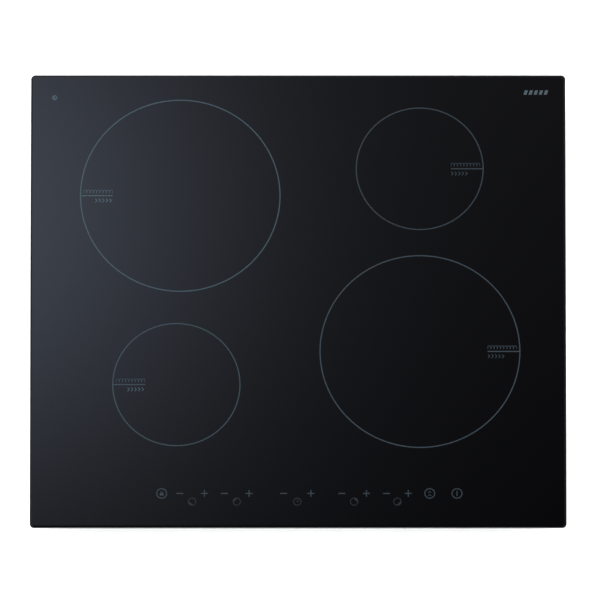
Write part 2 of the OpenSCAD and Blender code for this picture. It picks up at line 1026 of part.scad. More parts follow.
module terminal_box() {
    inner_w = box_w - 2 * box_wall;
    wires_z = -36;
    color(grey_plastic)
        difference() {
            translate([0, box_rear - box_depth / 2, 0])
                block([box_w, box_depth, box_top - floor_z], floor_z);
            translate([0, box_rear - box_depth / 2 + box_wall, 0])
                block([inner_w, box_depth, box_top - floor_z - 2 * box_wall], floor_z + box_wall);
            translate([gland_x, gland_y, 0])
                disc(8, floor_z - 1, floor_z + box_wall + 1);
            for (x = [-14, 0, 14])
                translate([x, box_rear - box_depth, wires_z])
                    rotate([90, 0, 0])
                        cylinder(r = 2.2, h = 8, center = true);
        }
    color(grey_plastic)
        for (sx = [-1, 1])
            difference() {
                translate([sx * (box_w / 2 - box_wall - ear_w / 2 + tiny), hinge_y - 1, 0])
                    block([ear_w, 6, 10], floor_z + box_wall - tiny);
                translate([sx * box_w / 2, hinge_y, hinge_z])
                    rotate([0, 90, 0])
                        cylinder(r = hinge_pin_r + running_gap, h = 20, center = true);
            }
}

module terminal_block() {
    color([0.85, 0.84, 0.80])
        translate([0, box_rear - box_depth + 10, 0])
            difference() {
                block([76, 16, 18], floor_z + box_wall);
                for (x = [-28 : 14 : 28])
                    translate([x, 0, floor_z + box_wall + 9])
                        rotate([-90, 0, 0])
                            cylinder(r = 2.1, h = 12);
                for (x = [-21 : 14 : 21])
                    translate([x, 6, 0])
                        block([1.5, 6, 22], floor_z + box_wall - 1);
            }
}

module terminal_screws() {
    color([0.80, 0.68, 0.35])
        for (x = [-28 : 14 : 28])
            translate([x, box_rear - box_depth + 18, floor_z + box_wall + 9])
                rotate([-90, 0, 0])
                    pan_screw(3.6, 2, 2, 7);
}

// Cover that swings down about the pins at its lower edge
module terminal_cover() {
    color(grey_plastic)
        difference() {
            union() {
                translate([0, hinge_y - 0.5 + cover_t / 2, 0])
                    block([cover_w - 6, cover_t, cover_h], hinge_z);
                translate([0, hinge_y, hinge_z])
                    rotate([0, 90, 0])
                        cylinder(r = 2, h = cover_w - 6, center = true);
                translate([0, hinge_y, hinge_z])
                    rotate([0, 90, 0])
                        cylinder(r = hinge_pin_r, h = cover_w + 7.4, center = true);
                translate([0, hinge_y + 1.5, 0])
                    block([18, 1, 3], hinge_z + cover_h - 5);
            }
            for (x = [-30 : 4 : 30])
                translate([x, hinge_y + 1.6, 0])
                    block([1.6, 0.8, 14], hinge_z + 8);
        }
}

// Rubber gland that the mains cable comes through
module cable_gland() {
    color([0.06, 0.06, 0.06])
        translate([gland_x, gland_y, 0])
            difference() {
                union() {
                    disc(7.9, tray_bottom, floor_z + box_wall + tiny);
                    disc(10, floor_z + box_wall, floor_z + box_wall + 2.5);
                }
                disc(gland_bore_r, tray_bottom - 1, floor_z + box_wall + 4);
            }
}

// ---------------------------------------------------------------- wiring

module coil_leads() {
    color([0.85, 0.85, 0.82])
        for (zone = zones)
            for (sx = [-1, 1])
                planar_sweep(lead_x(zone) + 4 * sx, [for (p = lead_route) [lead_y(zone) + p.x, p.y]],
                    circle_section(1.6));
}

module mains_wires() {
    color([0.45, 0.30, 0.18])
        for (x = [-14, 0, 14])
            planar_sweep(x, mains_route, circle_section(1.6));
}

module ribbon_cable() {
    color([0.62, 0.63, 0.66])
        planar_sweep(0, ribbon_route, [[-8, -0.6], [8, -0.6], [8, 0.6], [-8, 0.6]]);
}

// ---------------------------------------------------------------- assembly

glass_top();
zone_marks();
control_marks();
worktop_seal();
glass_adhesive();
glass_frame();
base_tray();
frame_screws();
fan_grilles();
placed_clamp(-1, -1);  // clamp_front_left
placed_clamp(1, -1);  // clamp_front_right
placed_clamp(-1, 1);  // clamp_rear_left
placed_clamp(1, 1);  // clamp_rear_right
clamp_pivot_screws();
coil_former(rear_left);  // coil_former_rear_left
coil_former(rear_right);  // coil_former_rear_right
coil_former(front_left);  // coil_former_front_left
coil_former(front_right);  // coil_former_front_right
coil_winding(rear_left);  // coil_winding_rear_left
coil_winding(rear_right);  // coil_winding_rear_right
coil_winding(front_left);  // coil_winding_front_left
coil_winding(front_right);  // coil_winding_front_right
ferrite_bars(rear_left);  // ferrite_bars_rear_left
ferrite_bars(rear_right);  // ferrite_bars_rear_right
ferrite_bars(front_left);  // ferrite_bars_front_left
ferrite_bars(front_right);  // ferrite_bars_front_right
mica_discs();
temp_sensors();
coil_springs();
coil_carrier(true);  // coil_carrier_left
coil_carrier(false);  // coil_carrier_right
carrier_posts();
inner_screws();
power_board(-1);  // power_board_left
power_board(1);  // power_board_right
heatsink(-1);  // heatsink_left
heatsink(1);  // heatsink_right
power_transistors();
film_capacitors();
power_chokes();
filter_board();
blower_housing(-1);  // blower_housing_left
blower_housing(1);  // blower_housing_right
impeller(-1);  // impeller_left
impeller(1);  // impeller_right
rotor_shaft(-1);  // rotor_shaft_left
rotor_shaft(1);  // rotor_shaft_right
blower_stators();
ui_tray();
ui_board();
touch_springs();
digit_displays();
terminal_box();
terminal_block();
terminal_screws();
terminal_cover();
cable_gland();
coil_leads();
ribbon_cable();
mains_wires();
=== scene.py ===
import json
import math
import random

import bmesh
import bpy
from mathutils import Matrix, Vector


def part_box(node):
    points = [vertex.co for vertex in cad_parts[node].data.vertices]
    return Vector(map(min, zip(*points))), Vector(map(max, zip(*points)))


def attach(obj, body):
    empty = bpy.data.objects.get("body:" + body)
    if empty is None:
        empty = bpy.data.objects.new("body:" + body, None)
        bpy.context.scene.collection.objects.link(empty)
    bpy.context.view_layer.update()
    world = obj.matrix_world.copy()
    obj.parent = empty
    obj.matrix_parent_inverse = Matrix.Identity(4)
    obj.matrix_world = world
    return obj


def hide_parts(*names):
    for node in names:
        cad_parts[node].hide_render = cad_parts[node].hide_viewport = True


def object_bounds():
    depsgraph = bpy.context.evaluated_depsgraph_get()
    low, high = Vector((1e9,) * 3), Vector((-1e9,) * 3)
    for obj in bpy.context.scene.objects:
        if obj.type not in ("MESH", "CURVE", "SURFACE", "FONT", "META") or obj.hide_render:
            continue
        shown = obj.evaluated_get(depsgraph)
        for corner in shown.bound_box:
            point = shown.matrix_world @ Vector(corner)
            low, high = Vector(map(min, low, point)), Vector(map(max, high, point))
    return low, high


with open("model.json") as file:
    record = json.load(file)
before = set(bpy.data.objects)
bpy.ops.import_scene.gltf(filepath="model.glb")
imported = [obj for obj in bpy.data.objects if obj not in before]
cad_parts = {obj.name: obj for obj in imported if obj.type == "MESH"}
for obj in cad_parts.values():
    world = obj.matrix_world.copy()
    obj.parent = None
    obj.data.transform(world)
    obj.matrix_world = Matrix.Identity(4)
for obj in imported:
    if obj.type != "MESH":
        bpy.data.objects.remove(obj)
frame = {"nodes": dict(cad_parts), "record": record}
cad_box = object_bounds()
nodes = frame["nodes"]
scene = bpy.context.scene
MM = 0.001
QUARTER = math.pi / 2
FULL = 2 * math.pi
SHARP_FROM = 40  # degrees between two faces

# ---- shader graphs


class Graph:
    """A material whose colour, roughness and normal come from procedural nodes."""

    def __init__(self, name, kind="BsdfPrincipled", **constants):
        self.material = bpy.data.materials.new(name)
        self.material.use_nodes = True
        self.tree = self.material.node_tree
        self.tree.nodes.clear()
        output = self.node("OutputMaterial")
        self.shader = self.node(kind)
        self.tree.links.new(self.shader.outputs[0], output.inputs[0])
        self.where = self.node("TexCoord").outputs["Object"]
        self.set(**constants)

    def node(self, kind, values=(), **settings):
        """A shader node with its settings, and a value or a link for each (socket, value) pair."""
        n = self.tree.nodes.new("ShaderNode" + kind)
        for key, value in settings.items():
            setattr(n, key, value)
        for socket, value in values:
            self.put(n.inputs[socket], value)
        return n

    def put(self, socket, value):
        if isinstance(value, bpy.types.NodeSocket):
            self.tree.links.new(value, socket)
        elif isinstance(value, (tuple, list)) and len(value) == 3 and socket.type == "RGBA":
            socket.default_value = (*value, 1)
        else:
            socket.default_value = value

    def set(self, **values):
        for key, value in values.items():
            self.put(self.shader.inputs[key.replace("_", " ")], value)

    def made(self, colour, roughness, normal):
        self.set(Base_Color=colour, Roughness=roughness, Normal=normal)
        return self.material

    def stretched(self, scale):
        return self.node("Mapping", (("Vector", self.where), ("Scale", scale))).outputs[0]

    def noise(self, scale, detail=4, roughness=0.55, vector=None):
        values = (("Vector", vector or self.where), ("Scale", scale), ("Detail", detail),
                  ("Roughness", roughness))
        return self.node("TexNoise", values).outputs[0]

    def cells(self, scale, feature="F1"):
        """Voronoi cells: the distance, and the cell's own random colour as three numbers."""
        values = (("Vector", self.where), ("Scale", scale))
        return self.node("TexVoronoi", values, feature=feature).outputs

    def separated(self, colour):
        return self.node("SeparateColor", ((0, colour),)).outputs

    def waves(self, scale, direction, distortion=0.0):
        values = (("Vector", self.where), ("Scale", scale), ("Distortion", distortion))
        return self.node("TexWave", values, bands_direction=direction).outputs

    def math(self, operation, a, b=0.0, c=0.0):
        return self.node("Math", enumerate((a, b, c)), operation=operation).outputs[0]

    def ramp(self, factor, *stops):
        """Grey levels between (position, level) stops."""
        n = self.node("ValToRGB", ((0, factor),))
        while len(n.color_ramp.elements) < len(stops):
            n.color_ramp.elements.new(0.5)
        for element, (position, level) in zip(n.color_ramp.elements, stops):
            element.position = position
            element.color = (level, level, level, 1)
        return n.outputs[0]

    def spread(self, factor, low, high, from_low=0.3, from_high=0.7):
        values = (("Value", factor), ("From Min", from_low), ("From Max", from_high), ("To Min", low),
                  ("To Max", high))
        return self.node("MapRange", values).outputs[0]

    def mix(self, factor, a, b, blend="MIX"):
        values = ((0, factor), (6, a), (7, b))
        return self.node("Mix", values, data_type="RGBA", blend_type=blend).outputs[2]

    def bump(self, height, strength, distance, under=None):
        """A bump map, over a coarser one where there is one."""
        values = [("Strength", strength), ("Distance", distance), ("Height", height)]
        if under is not None:
            values.append(("Normal", under))
        return self.node("Bump", values).outputs[0]


def scaled(colour, factor):
    return tuple(min(1.0, c * factor) for c in colour)


def ceramic_glass(name):
    g = Graph(name, Specular_IOR_Level=0.5, IOR=1.52)
    specks = g.cells(900)[0]
    tone = g.mix(g.spread(specks, 0, 1, 0.0, 0.6), (0.0005, 0.0005, 0.0007), (0.0002, 0.0002, 0.0003))
    smears = g.noise(9, 5, 0.6)
    ripple = g.noise(14, 2, 0.5)
    return g.made(tone, g.spread(smears, 0.035, 0.06), g.bump(ripple, 0.02, 0.0004))


def ground_glass_painted_shade(name):
    """The ground edge, with grinding lines along it: black, with its shine cut nearly to nothing as painted
    shade that keeps the edge dark from every side.
    """
    g = Graph(name, Specular_IOR_Level=0.08)
    lines = g.noise(1.0, 3, 0.6, g.stretched((120, 120, 2600)))
    chips = g.noise(700, 4, 0.7)
    tone = g.mix(g.spread(lines, 0, 1), (0.0002, 0.0002, 0.0003), (0.0007, 0.0007, 0.0008))
    tone = g.mix(g.spread(chips, 0, 0.5, 0.66, 0.8), tone, (0.004, 0.004, 0.005))
    return g.made(tone, g.spread(lines, 0.36, 0.5), g.bump(lines, 0.15, 0.00004))


def enamel(name, colour, speck):
    g = Graph(name, Specular_IOR_Level=0.45)
    grain = g.noise(2600, 3, 0.7)
    patches = g.noise(55, 3, 0.6)
    tone = g.mix(g.spread(grain, 0, 1), scaled(colour, 1 - speck), scaled(colour, 1 + speck))
    tone = g.mix(g.spread(patches, 0, 0.35), tone, scaled(colour, 0.72))
    return g.made(tone, g.spread(grain, 0.16, 0.28), g.bump(grain, 0.1, 0.00003))


def galvanised(name, colour, cell):
    """Zinc-coated sheet: flat crystals that each catch the light, frost, and dull stains."""
    g = Graph(name, Metallic=0.8)
    facet = g.separated(g.cells(cell)[1])
    frost = g.cells(cell * 2.7, "SMOOTH_F1")[0]
    fine = g.noise(1500, 3, 0.65)
    stain = g.noise(11, 5, 0.6)
    tone = g.mix(g.spread(facet[0], 0, 1, 0.0, 1.0), scaled(colour, 0.90), scaled(colour, 1.10))
    tone = g.mix(g.spread(frost, 0, 0.25, 0.1, 0.6), tone, scaled(colour, 1.2))
    tone = g.mix(g.spread(stain, 0, 0.3, 0.48, 0.75), tone, scaled(colour, 0.66))
    rough = g.math("ADD", g.spread(facet[1], 0.30, 0.44, 0.0, 1.0), g.spread(fine, -0.03, 0.05))
    return g.made(tone, rough, g.bump(fine, 0.12, 0.00006, g.bump(facet[2], 0.05, 0.0001)))


def bare_metal(name, colour, roughness, brush=(40, 900, 900), strength=0.2):
    """Brushed metal; brush is how fine its lines are along each axis."""
    g = Graph(name, Metallic=1.0)
    lines = g.noise(1.0, 4, 0.6, g.stretched(brush))
    blotches = g.noise(60, 4, 0.6)
    tone = g.mix(g.spread(lines, 0, 1), scaled(colour, 0.84), scaled(colour, 1.1))
    tone = g.mix(g.spread(blotches, 0, 0.4, 0.5, 0.8), tone, scaled(colour, 0.6))
    return g.made(tone, g.spread(lines, roughness * 0.8, roughness * 1.25), g.bump(lines, strength, 0.00005))


def moulded(name, colour, roughness=0.45, grain=1100, depth=0.00005, strength=0.3):
    """Moulded plastic or rubber with a fine grain, slight flow marks and dust."""
    g = Graph(name, Specular_IOR_Level=0.45)
    texture = g.noise(grain, 3, 0.6)
    flow = g.noise(18, 4, 0.55)
    dust = g.noise(240, 5, 0.7)
    tone = g.mix(g.spread(flow, 0, 1), scaled(colour, 0.85), scaled(colour, 1.15))
    tone = g.mix(g.spread(dust, 0, 0.22, 0.58, 0.8), tone, tuple(c * 0.5 + 0.12 for c in colour))
    rough = g.spread(texture, roughness - 0.08, roughness + 0.1)
    return g.made(tone, rough, g.bump(texture, strength, depth))


def foam(name, colour):
    g = Graph(name, Specular_IOR_Level=0.2)
    pores = g.cells(1400)[0]
    lumps = g.noise(420, 4, 0.7)
    tone = g.mix(g.spread(pores, 0, 1, 0.1, 0.6), scaled(colour, 0.55), scaled(colour, 1.3))
    return g.made(tone, g.spread(lumps, 0.8, 0.95), g.bump(pores, 0.8, 0.0003, g.bump(lumps, 0.4, 0.0004)))


def board(name, colour):
    """Circuit board: lacquered tracks and tinned pads over a glass weave."""
    g = Graph(name, Specular_IOR_Level=0.5)
    values = (("Vector", g.where), ("Scale", 34), ("Mortar Size", 0.03), ("Brick Width", 0.9),
              ("Row Height", 0.16), ("Color1", scaled(colour, 1.5)), ("Color2", scaled(colour, 0.9)),
              ("Mortar", scaled(colour, 0.6)))
    tracks = g.node("TexBrick", values, offset=0.37, squash=0.6).outputs
    pads = g.cells(260)[0]
    weave = g.noise(900, 2, 0.5)
    tone = g.mix(g.spread(pads, 1, 0, 0.10, 0.13), tracks[0], (0.42, 0.40, 0.34))
    return g.made(tone, g.spread(weave, 0.25, 0.4), g.bump(tracks[1], 0.3, 0.00006))


def ferrite(name):
    g = Graph(name, Specular_IOR_Level=0.35)
    grains = g.cells(1900)[0]
    chips = g.noise(160, 6, 0.75)
    tone = g.mix(g.spread(grains, 0, 1, 0.0, 0.7), (0.045, 0.044, 0.046), (0.022, 0.021, 0.023))
    tone = g.mix(g.spread(chips, 0, 0.6, 0.62, 0.75), tone, (0.11, 0.11, 0.11))
    return g.made(tone, g.spread(chips, 0.5, 0.75), g.bump(grains, 0.5, 0.0001))


def mica(name):
    g = Graph(name, Specular_IOR_Level=0.5)
    flake = g.separated(g.cells(210)[1])
    layers = g.noise(1.0, 5, 0.7, g.stretched((90, 90, 700)))
    tone = g.mix(g.spread(flake[0], 0, 1, 0, 1), (0.36, 0.31, 0.23), (0.58, 0.53, 0.42))
    tone = g.mix(g.spread(layers, 0, 0.5), tone, (0.26, 0.20, 0.13))
    return g.made(tone, g.spread(flake[1], 0.22, 0.5, 0, 1), g.bump(flake[2], 0.25, 0.0001))


def litz(name, colour):
    """Stranded copper wire under varnish."""
    g = Graph(name, Metallic=0.7)
    strands = g.waves(620, "DIAGONAL", 3.0)[0]
    varnish = g.noise(70, 4, 0.6)
    tone = g.mix(strands, scaled(colour, 0.55), scaled(colour, 1.2))
    tone = g.mix(g.spread(varnish, 0, 0.5), tone, (0.30, 0.10, 0.04))
    return g.made(tone, g.spread(varnish, 0.28, 0.5), g.bump(strands, 0.6, 0.0002))


def braid(name, colour):
    g = Graph(name, Specular_IOR_Level=0.2)
    knit = g.math("MULTIPLY", g.waves(900, "DIAGONAL")[1], g.waves(700, "Z")[1])
    tone = g.mix(knit, scaled(colour, 0.6), scaled(colour, 1.15))
    return g.made(tone, g.spread(g.noise(300), 0.6, 0.85), g.bump(knit, 0.7, 0.0002))


# Every slot of the record: its recipe and what the recipe takes, from the colour on
RECIPES = {
    "ceramic_glass": (ceramic_glass,),
    "print_enamel": (enamel, (0.0107, 0.0148, 0.0182), 0.25),
    "seal_foam": (foam, (0.045, 0.045, 0.050)),
    "silicone": (moulded, (0.030, 0.030, 0.033), 0.5, 600, 0.00015, 0.5),
    "galvanised_sheet": (galvanised, (0.150, 0.154, 0.160), 150),
    "zinc_screws": (bare_metal, (0.27, 0.275, 0.262), 0.30, (700, 700, 700), 0.15),
    "clamp_steel": (bare_metal, (0.25, 0.25, 0.245), 0.36),
    "black_plastic": (moulded, (0.022, 0.022, 0.024)),
    "grey_plastic": (moulded, (0.085, 0.088, 0.095)),
    "former_plastic": (moulded, (0.05, 0.047, 0.045), 0.5),
    "litz_copper": (litz, (0.56, 0.25, 0.11)),
    "enamelled_copper": (litz, (0.60, 0.20, 0.07)),
    "ferrite": (ferrite,),
    "mica": (mica,),
    "sensor_ceramic": (moulded, (0.72, 0.70, 0.66), 0.4, 1500),
    "spring_steel": (bare_metal, (0.55, 0.55, 0.54), 0.25, (900, 900, 900), 0.1),
    "aluminium_sheet": (bare_metal, (0.60, 0.61, 0.62), 0.34, (25, 1200, 900)),
    "aluminium_extrusion": (bare_metal, (0.58, 0.59, 0.60), 0.32, (900, 18, 900)),
    "circuit_board": (board, (0.015, 0.10, 0.045)),
    "epoxy_packages": (moulded, (0.020, 0.020, 0.021), 0.5, 1700),
    "film_yellow": (moulded, (0.62, 0.43, 0.05), 0.35, 500),
    "impeller_plastic": (moulded, (0.030, 0.030, 0.032), 0.42),
    "display_plastic": (moulded, (0.035, 0.010, 0.010), 0.2, 1200),
    "ceramic_block": (moulded, (0.62, 0.60, 0.55), 0.35, 900),
    "brass_screws": (bare_metal, (0.46, 0.33, 0.13), 0.28, (700, 700, 700)),
    "gland_rubber": (moulded, (0.020, 0.020, 0.021), 0.65, 800, 0.0001, 0.5),
    "silicone_sleeve": (braid, (0.60, 0.57, 0.50)),
    "ribbon_vinyl": (moulded, (0.42, 0.43, 0.44), 0.4, 300),
    "wire_vinyl": (moulded, (0.10, 0.16, 0.42), 0.38, 400),
}
MATERIALS = {name: make(name, *values) for name, (make, *values) in RECIPES.items()}

# ---- making pieces

slot_of = {part["node"]: part["material_slot"] for part in frame["record"]["subparts"]}
body_of = {name: body for body, members in frame["record"]["behaviour"]["bodies"].items() for name in members}

for name, obj in nodes.items():
    obj.data.materials.clear()
    obj.data.materials.append(MATERIALS[slot_of[name]])


def linked(name, data):
    """An object with this mesh, camera or light, in the scene."""
    obj = bpy.data.objects.new(name, data)
    scene.collection.objects.link(obj)
    return obj


def add_piece(name, shape, angle, slot, body="root", replaced=(), material=None):
    """A piece from a mesh, or from a bmesh that is shaded smooth up to the angle."""
    mesh = mesh_from(name, shape, angle) if isinstance(shape, bmesh.types.BMesh) else shape
    obj = linked(name, mesh)
    mesh.materials.clear()
    mesh.materials.append(material or MATERIALS[slot])
    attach(obj, body)
    if replaced:
        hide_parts(*replaced)
    return obj


def stand_in(name, node, shape, angle=None):
    """A piece that replaces a node, on the node's body and in its slot."""
    return add_piece(name, shape, angle, slot_of[node], body_of[node], [node])


def smooth(mesh, angle):
    """Smooth shading, with edges sharper than the angle (in degrees) kept sharp."""
    for face in mesh.polygons:
        face.use_smooth = True
    mesh.set_sharp_from_angle(angle=math.radians(angle))


def mesh_from(name, bm, angle=None):
    mesh = bpy.data.meshes.new(name)
    bmesh.ops.recalc_face_normals(bm, faces=bm.faces)
    bm.to_mesh(mesh)
    bm.free()
    if angle:
        smooth(mesh, angle)
    return mesh


def evaluated(mesh, kind, **settings):
    """The mesh with one modifier applied."""
    obj = linked("working", mesh)
    modifier = obj.modifiers.new(kind, kind)
    for key, value in settings.items():
        setattr(modifier, key, value)
    made = bpy.data.meshes.new_from_object(obj.evaluated_get(bpy.context.evaluated_depsgraph_get()))
    bpy.data.objects.remove(obj)
    return made


def combined(mesh, tools, operation="DIFFERENCE"):
    """The mesh with the tools (a bmesh) cut out of it or joined to it."""
    helper = linked("helper", mesh_from("tools", tools))
    made = evaluated(mesh, "BOOLEAN", operation=operation, object=helper, solver="EXACT")
    bpy.data.objects.remove(helper)
    return made


def softened(mesh, width):
    """The mesh with its sharp edges rounded."""
    made = evaluated(mesh, "BEVEL", width=width, segments=2, limit_method="ANGLE",
                     angle_limit=math.radians(SHARP_FROM))
    bm = bmesh.new()
    bm.from_mesh(made)
    bmesh.ops.dissolve_degenerate(bm, dist=2e-6, edges=bm.edges)
    bm.to_mesh(made)
    bm.free()
    smooth(made, SHARP_FROM)
    return made


def solids_of(node, dist):
    """The node's mesh as a bmesh, with points nearer than the distance merged."""
    bm = bmesh.new()
    bm.from_mesh(nodes[node].data)
    bmesh.ops.remove_doubles(bm, verts=bm.verts, dist=dist)
    return bm


def finished(node, width):
    """A node's own shape with rounded edges, in its own material."""
    bm = solids_of(node, 2e-6)
    bmesh.ops.dissolve_limit(bm, angle_limit=math.radians(0.5), verts=bm.verts, edges=bm.edges)
    stand_in(node + "_finished", node, softened(mesh_from(node, bm), width))


def at(x, y, z):
    return Matrix.Translation((x, y, z))


def turn(angle, axis="Z"):
    return Matrix.Rotation(angle, 4, axis)


def centre_of(lo, hi):
    return (lo.x + hi.x) / 2, (lo.y + hi.y) / 2


def arc(start, end, steps):
    """Angles in radians from start to end, which are in degrees."""
    return [math.radians(start + (end - start) * i / steps) for i in range(steps + 1)]


def whole_turn(steps):
    return [FULL * i / steps for i in range(steps)]


NOWHERE = Matrix.Identity(4)
SQUARE = ((1, 1), (-1, 1), (-1, -1), (1, -1))


def rounded_outline(half_w, half_d, r, steps, x=0.0, y=0.0):
    points = []
    for corner, (sx, sy) in enumerate(SQUARE):
        for a in arc(90 * corner, 90 * corner + 90, steps):
            points.append((x + sx * (half_w - r) + r * math.cos(a), y + sy * (half_d - r) + r * math.sin(a)))
    return points


def circle_outline(r, steps, x=0.0, y=0.0):
    return [(x + r * math.cos(a), y + r * math.sin(a)) for a in whole_turn(steps)]


def box_outline(half_w, half_d):
    return [(half_w * a, half_d * b) for a, b in SQUARE]


def ring_at(outline, z, place=NOWHERE):
    """The outline's points at one height, moved by the matrix."""
    return [place @ Vector((x, y, z)) for x, y in outline]


def loft(bm, rings, closed=False):
    """Faces between rings of equally many points; capped at both ends unless closed."""
    made = [[bm.verts.new(p) for p in ring] for ring in rings]
    pairs = list(zip(made, made[1:])) + ([(made[-1], made[0])] if closed else [])
    for a, b in pairs:
        for i in range(len(a)):
            j = (i + 1) % len(a)
            bm.faces.new((a[i], a[j], b[j], b[i]))
    if not closed:
        bm.faces.new(list(reversed(made[0])))
        bm.faces.new(made[-1])
    return made


def prism(bm, outline, z0, z1, place=NOWHERE):
    return loft(bm, [ring_at(outline, z, place) for z in (z0, z1)])


def turned(bm, profile, place=NOWHERE, steps=36, closed=False):
    """A solid of revolution about local Z from (radius, height) points."""
    return loft(bm, [ring_at(circle_outline(r, steps), z, place) for r, z in profile], closed)


def swept(bm, points, section):
    """Sweeps a section of (across, up) points along a path, without twist."""
    points = [Vector(p) for p in points]
    ends = [points[0]] + points + [points[-1]]
    tangents = [(b - a).normalized() for a, b in zip(ends, ends[2:])]
    across = Vector((0, 0, 1)).cross(tangents[0]).normalized()
    rings = []
    for i, (point, tangent) in enumerate(zip(points, tangents)):
        if i:
            across = tangents[i - 1].rotation_difference(tangent) @ across
            across = (across - tangent * across.dot(tangent)).normalized()
        lift = tangent.cross(across)
        rings.append([point + across * a + lift * b for a, b in section])
    loft(bm, rings)


def curve_through(points, per_span=5):
    """A smooth path (Catmull-Rom) through points in millimetres."""
    points = [Vector(p) * MM for p in points]
    ends = [2 * points[0] - points[1]] + points + [2 * points[-1] - points[-2]]
    path = []
    for i in range(len(points) - 1):
        p0, p1, p2, p3 = ends[i:i + 4]
        for k in range(per_span):
            t = k / per_span
            path.append(0.5 * (2 * p1 + (p2 - p0) * t + (2 * p0 - 5 * p1 + 4 * p2 - p3) * t * t
                               + (3 * p1 - p0 - 3 * p2 + p3) * t ** 3))
    return path + [points[-1]]


def islands_of(node):
    """A node's separate solids, each as (lowest corner, highest corner, faces as lists of points)."""
    bm = solids_of(node, 1e-6)
    left = set(bm.faces)
    found = []
    for seed in bm.faces:
        if seed not in left:
            continue
        left.remove(seed)
        stack, group = [seed], [seed]
        while stack:
            for edge in stack.pop().edges:
                for face in edge.link_faces:
                    if face in left:
                        left.remove(face)
                        group.append(face)
                        stack.append(face)
        points = [v.co for face in group for v in face.verts]
        lo = Vector([min(p[i] for p in points) for i in range(3)])
        hi = Vector([max(p[i] for p in points) for i in range(3)])
        found.append((lo, hi, [[v.co.copy() for v in face.verts] for face in group]))
    bm.free()
    return found


def joined_islands(islands):
    bm = bmesh.new()
    for _, _, faces in islands:
        for face in faces:
            bm.faces.new([bm.verts.new(p) for p in face])
    bmesh.ops.remove_doubles(bm, verts=bm.verts, dist=1e-6)
    bmesh.ops.dissolve_limit(bm, angle_limit=math.radians(1), verts=bm.verts, edges=bm.edges)
    return bm


# ---- glass

glass_low, glass_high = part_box("glass_top")
GLASS_CORNER = 5.0 * MM
EDGE_WIDTH = 2.5 * MM
EDGE_DROP = 1.8 * MM
BACK_R = 0.5 * MM
FLAT = 0.6 * MM
POLISHED_FROM = 73  # degrees up the edge's arc


def glass_plate():
    """Ring by ring from the underside up; the last rings run up the rounded edge and onto the top."""
    levels = [(BACK_R + FLAT, glass_low.z)]
    for a in arc(0, 90, 6):
        levels.append((BACK_R * (1 - math.sin(a)), glass_low.z + BACK_R * (1 - math.cos(a))))
    edge_degrees = [*range(0, POLISHED_FROM, 7), *range(POLISHED_FROM, 90, 3), 90]
    for degrees in edge_degrees:
        a = math.radians(degrees)
        levels.append((EDGE_WIDTH * (1 - math.cos(a)), glass_high.z - EDGE_DROP * (1 - math.sin(a))))
    levels.append((EDGE_WIDTH + FLAT, glass_high.z))
    rings = []
    for inset, z in levels:
        outline = rounded_outline(glass_high.x - inset, glass_high.y - inset, GLASS_CORNER - inset, 24)
        rings.append(ring_at(outline, z))
    bm = bmesh.new()
    made = loft(bm, rings)
    underside = set(made[0])
    polished = set()
    for ring in made[-1 - sum(d >= POLISHED_FROM for d in edge_degrees):]:
        polished.update(ring)
    # Faces up the edge below the polished rim get the second material, the ground edge kept dark by painted
    # shade
    for face in bm.faces:
        corners = set(face.verts)
        face.material_index = 0 if corners <= polished or corners <= underside else 1
    return bm


plate = stand_in("glass_plate", "glass_top", glass_plate(), 40)
# The edge band takes the ground edge's painted shade: black and nearly without shine
plate.data.materials.append(ground_glass_painted_shade("ground_glass_painted_shade"))

# ---- printing

# The enamel's colour on each zone, as lit and shaded copies of one print: painted light makes the rear left
# brightest and the rear right darkest, where the glass's sheen falls lighter and darker; and how much
# brighter its small strokes are than its rings
ZONE_ENAMEL_PAINTED_LIGHT = {
    "rear_left": (0.0168, 0.0281, 0.0355),
    "rear_right": (0.0111, 0.0163, 0.0209),
    "front_left": (0.0128, 0.0207, 0.0260),
    "front_right": (0.0143, 0.0210, 0.0268),
}
LABEL_GAIN = {"rear_left": 1.85, "rear_right": 1.5, "front_left": 2.15, "front_right": 1.08}
ENAMEL = {
    "corner": (0.0270, 0.0375, 0.0450),
    "disc": (0.0160, 0.0275, 0.0355),
    "key": (0.0123, 0.0177, 0.0229),
    "lamp": (0.0073, 0.0101, 0.0127),
}
ZONE_SPLIT_Y = 30 * MM
RING_LEAST = 100 * MM
LABEL_MOST = 9 * MM
LAMP_ROW_Y = -226 * MM
BOOST_KEY_X = (130 * MM, 160 * MM)
CHEVRON_SCALE = (0.72, 1.3)


def print_groups():
    """The printing's separate strokes, sorted by where they are and what they belong to."""
    marks = islands_of("zone_marks")
    rings = {}
    for lo, hi, _ in marks:
        if hi.x - lo.x > RING_LEAST and hi.y - lo.y > RING_LEAST:
            middle = (lo + hi) / 2
            zone = ("rear_" if middle.y > ZONE_SPLIT_Y else "front_") + ("left" if middle.x < 0 else "right")
            rings[zone] = (lo, hi)
    groups = {}
    for island in marks:
        lo, hi, _ = island
        middle, size = (lo + hi) / 2, hi - lo
        inside = [zone for zone, (a, b) in rings.items()
                  if a.x - 3 * MM < middle.x < b.x + 3 * MM and a.y - 3 * MM < middle.y < b.y + 3 * MM]
        if inside:
            key = ("label_print_" if max(size.x, size.y) < LABEL_MOST else "zone_print_") + inside[0]
        else:
            key = "corner_print" if middle.x > 0 else "disc_print"
        groups.setdefault(key, []).append(island)
    for island in islands_of("control_marks"):
        key = "lamp_print" if (island[0].y + island[1].y) / 2 < LAMP_ROW_Y else "key_print"
        groups.setdefault(key, []).append(island)
    return groups


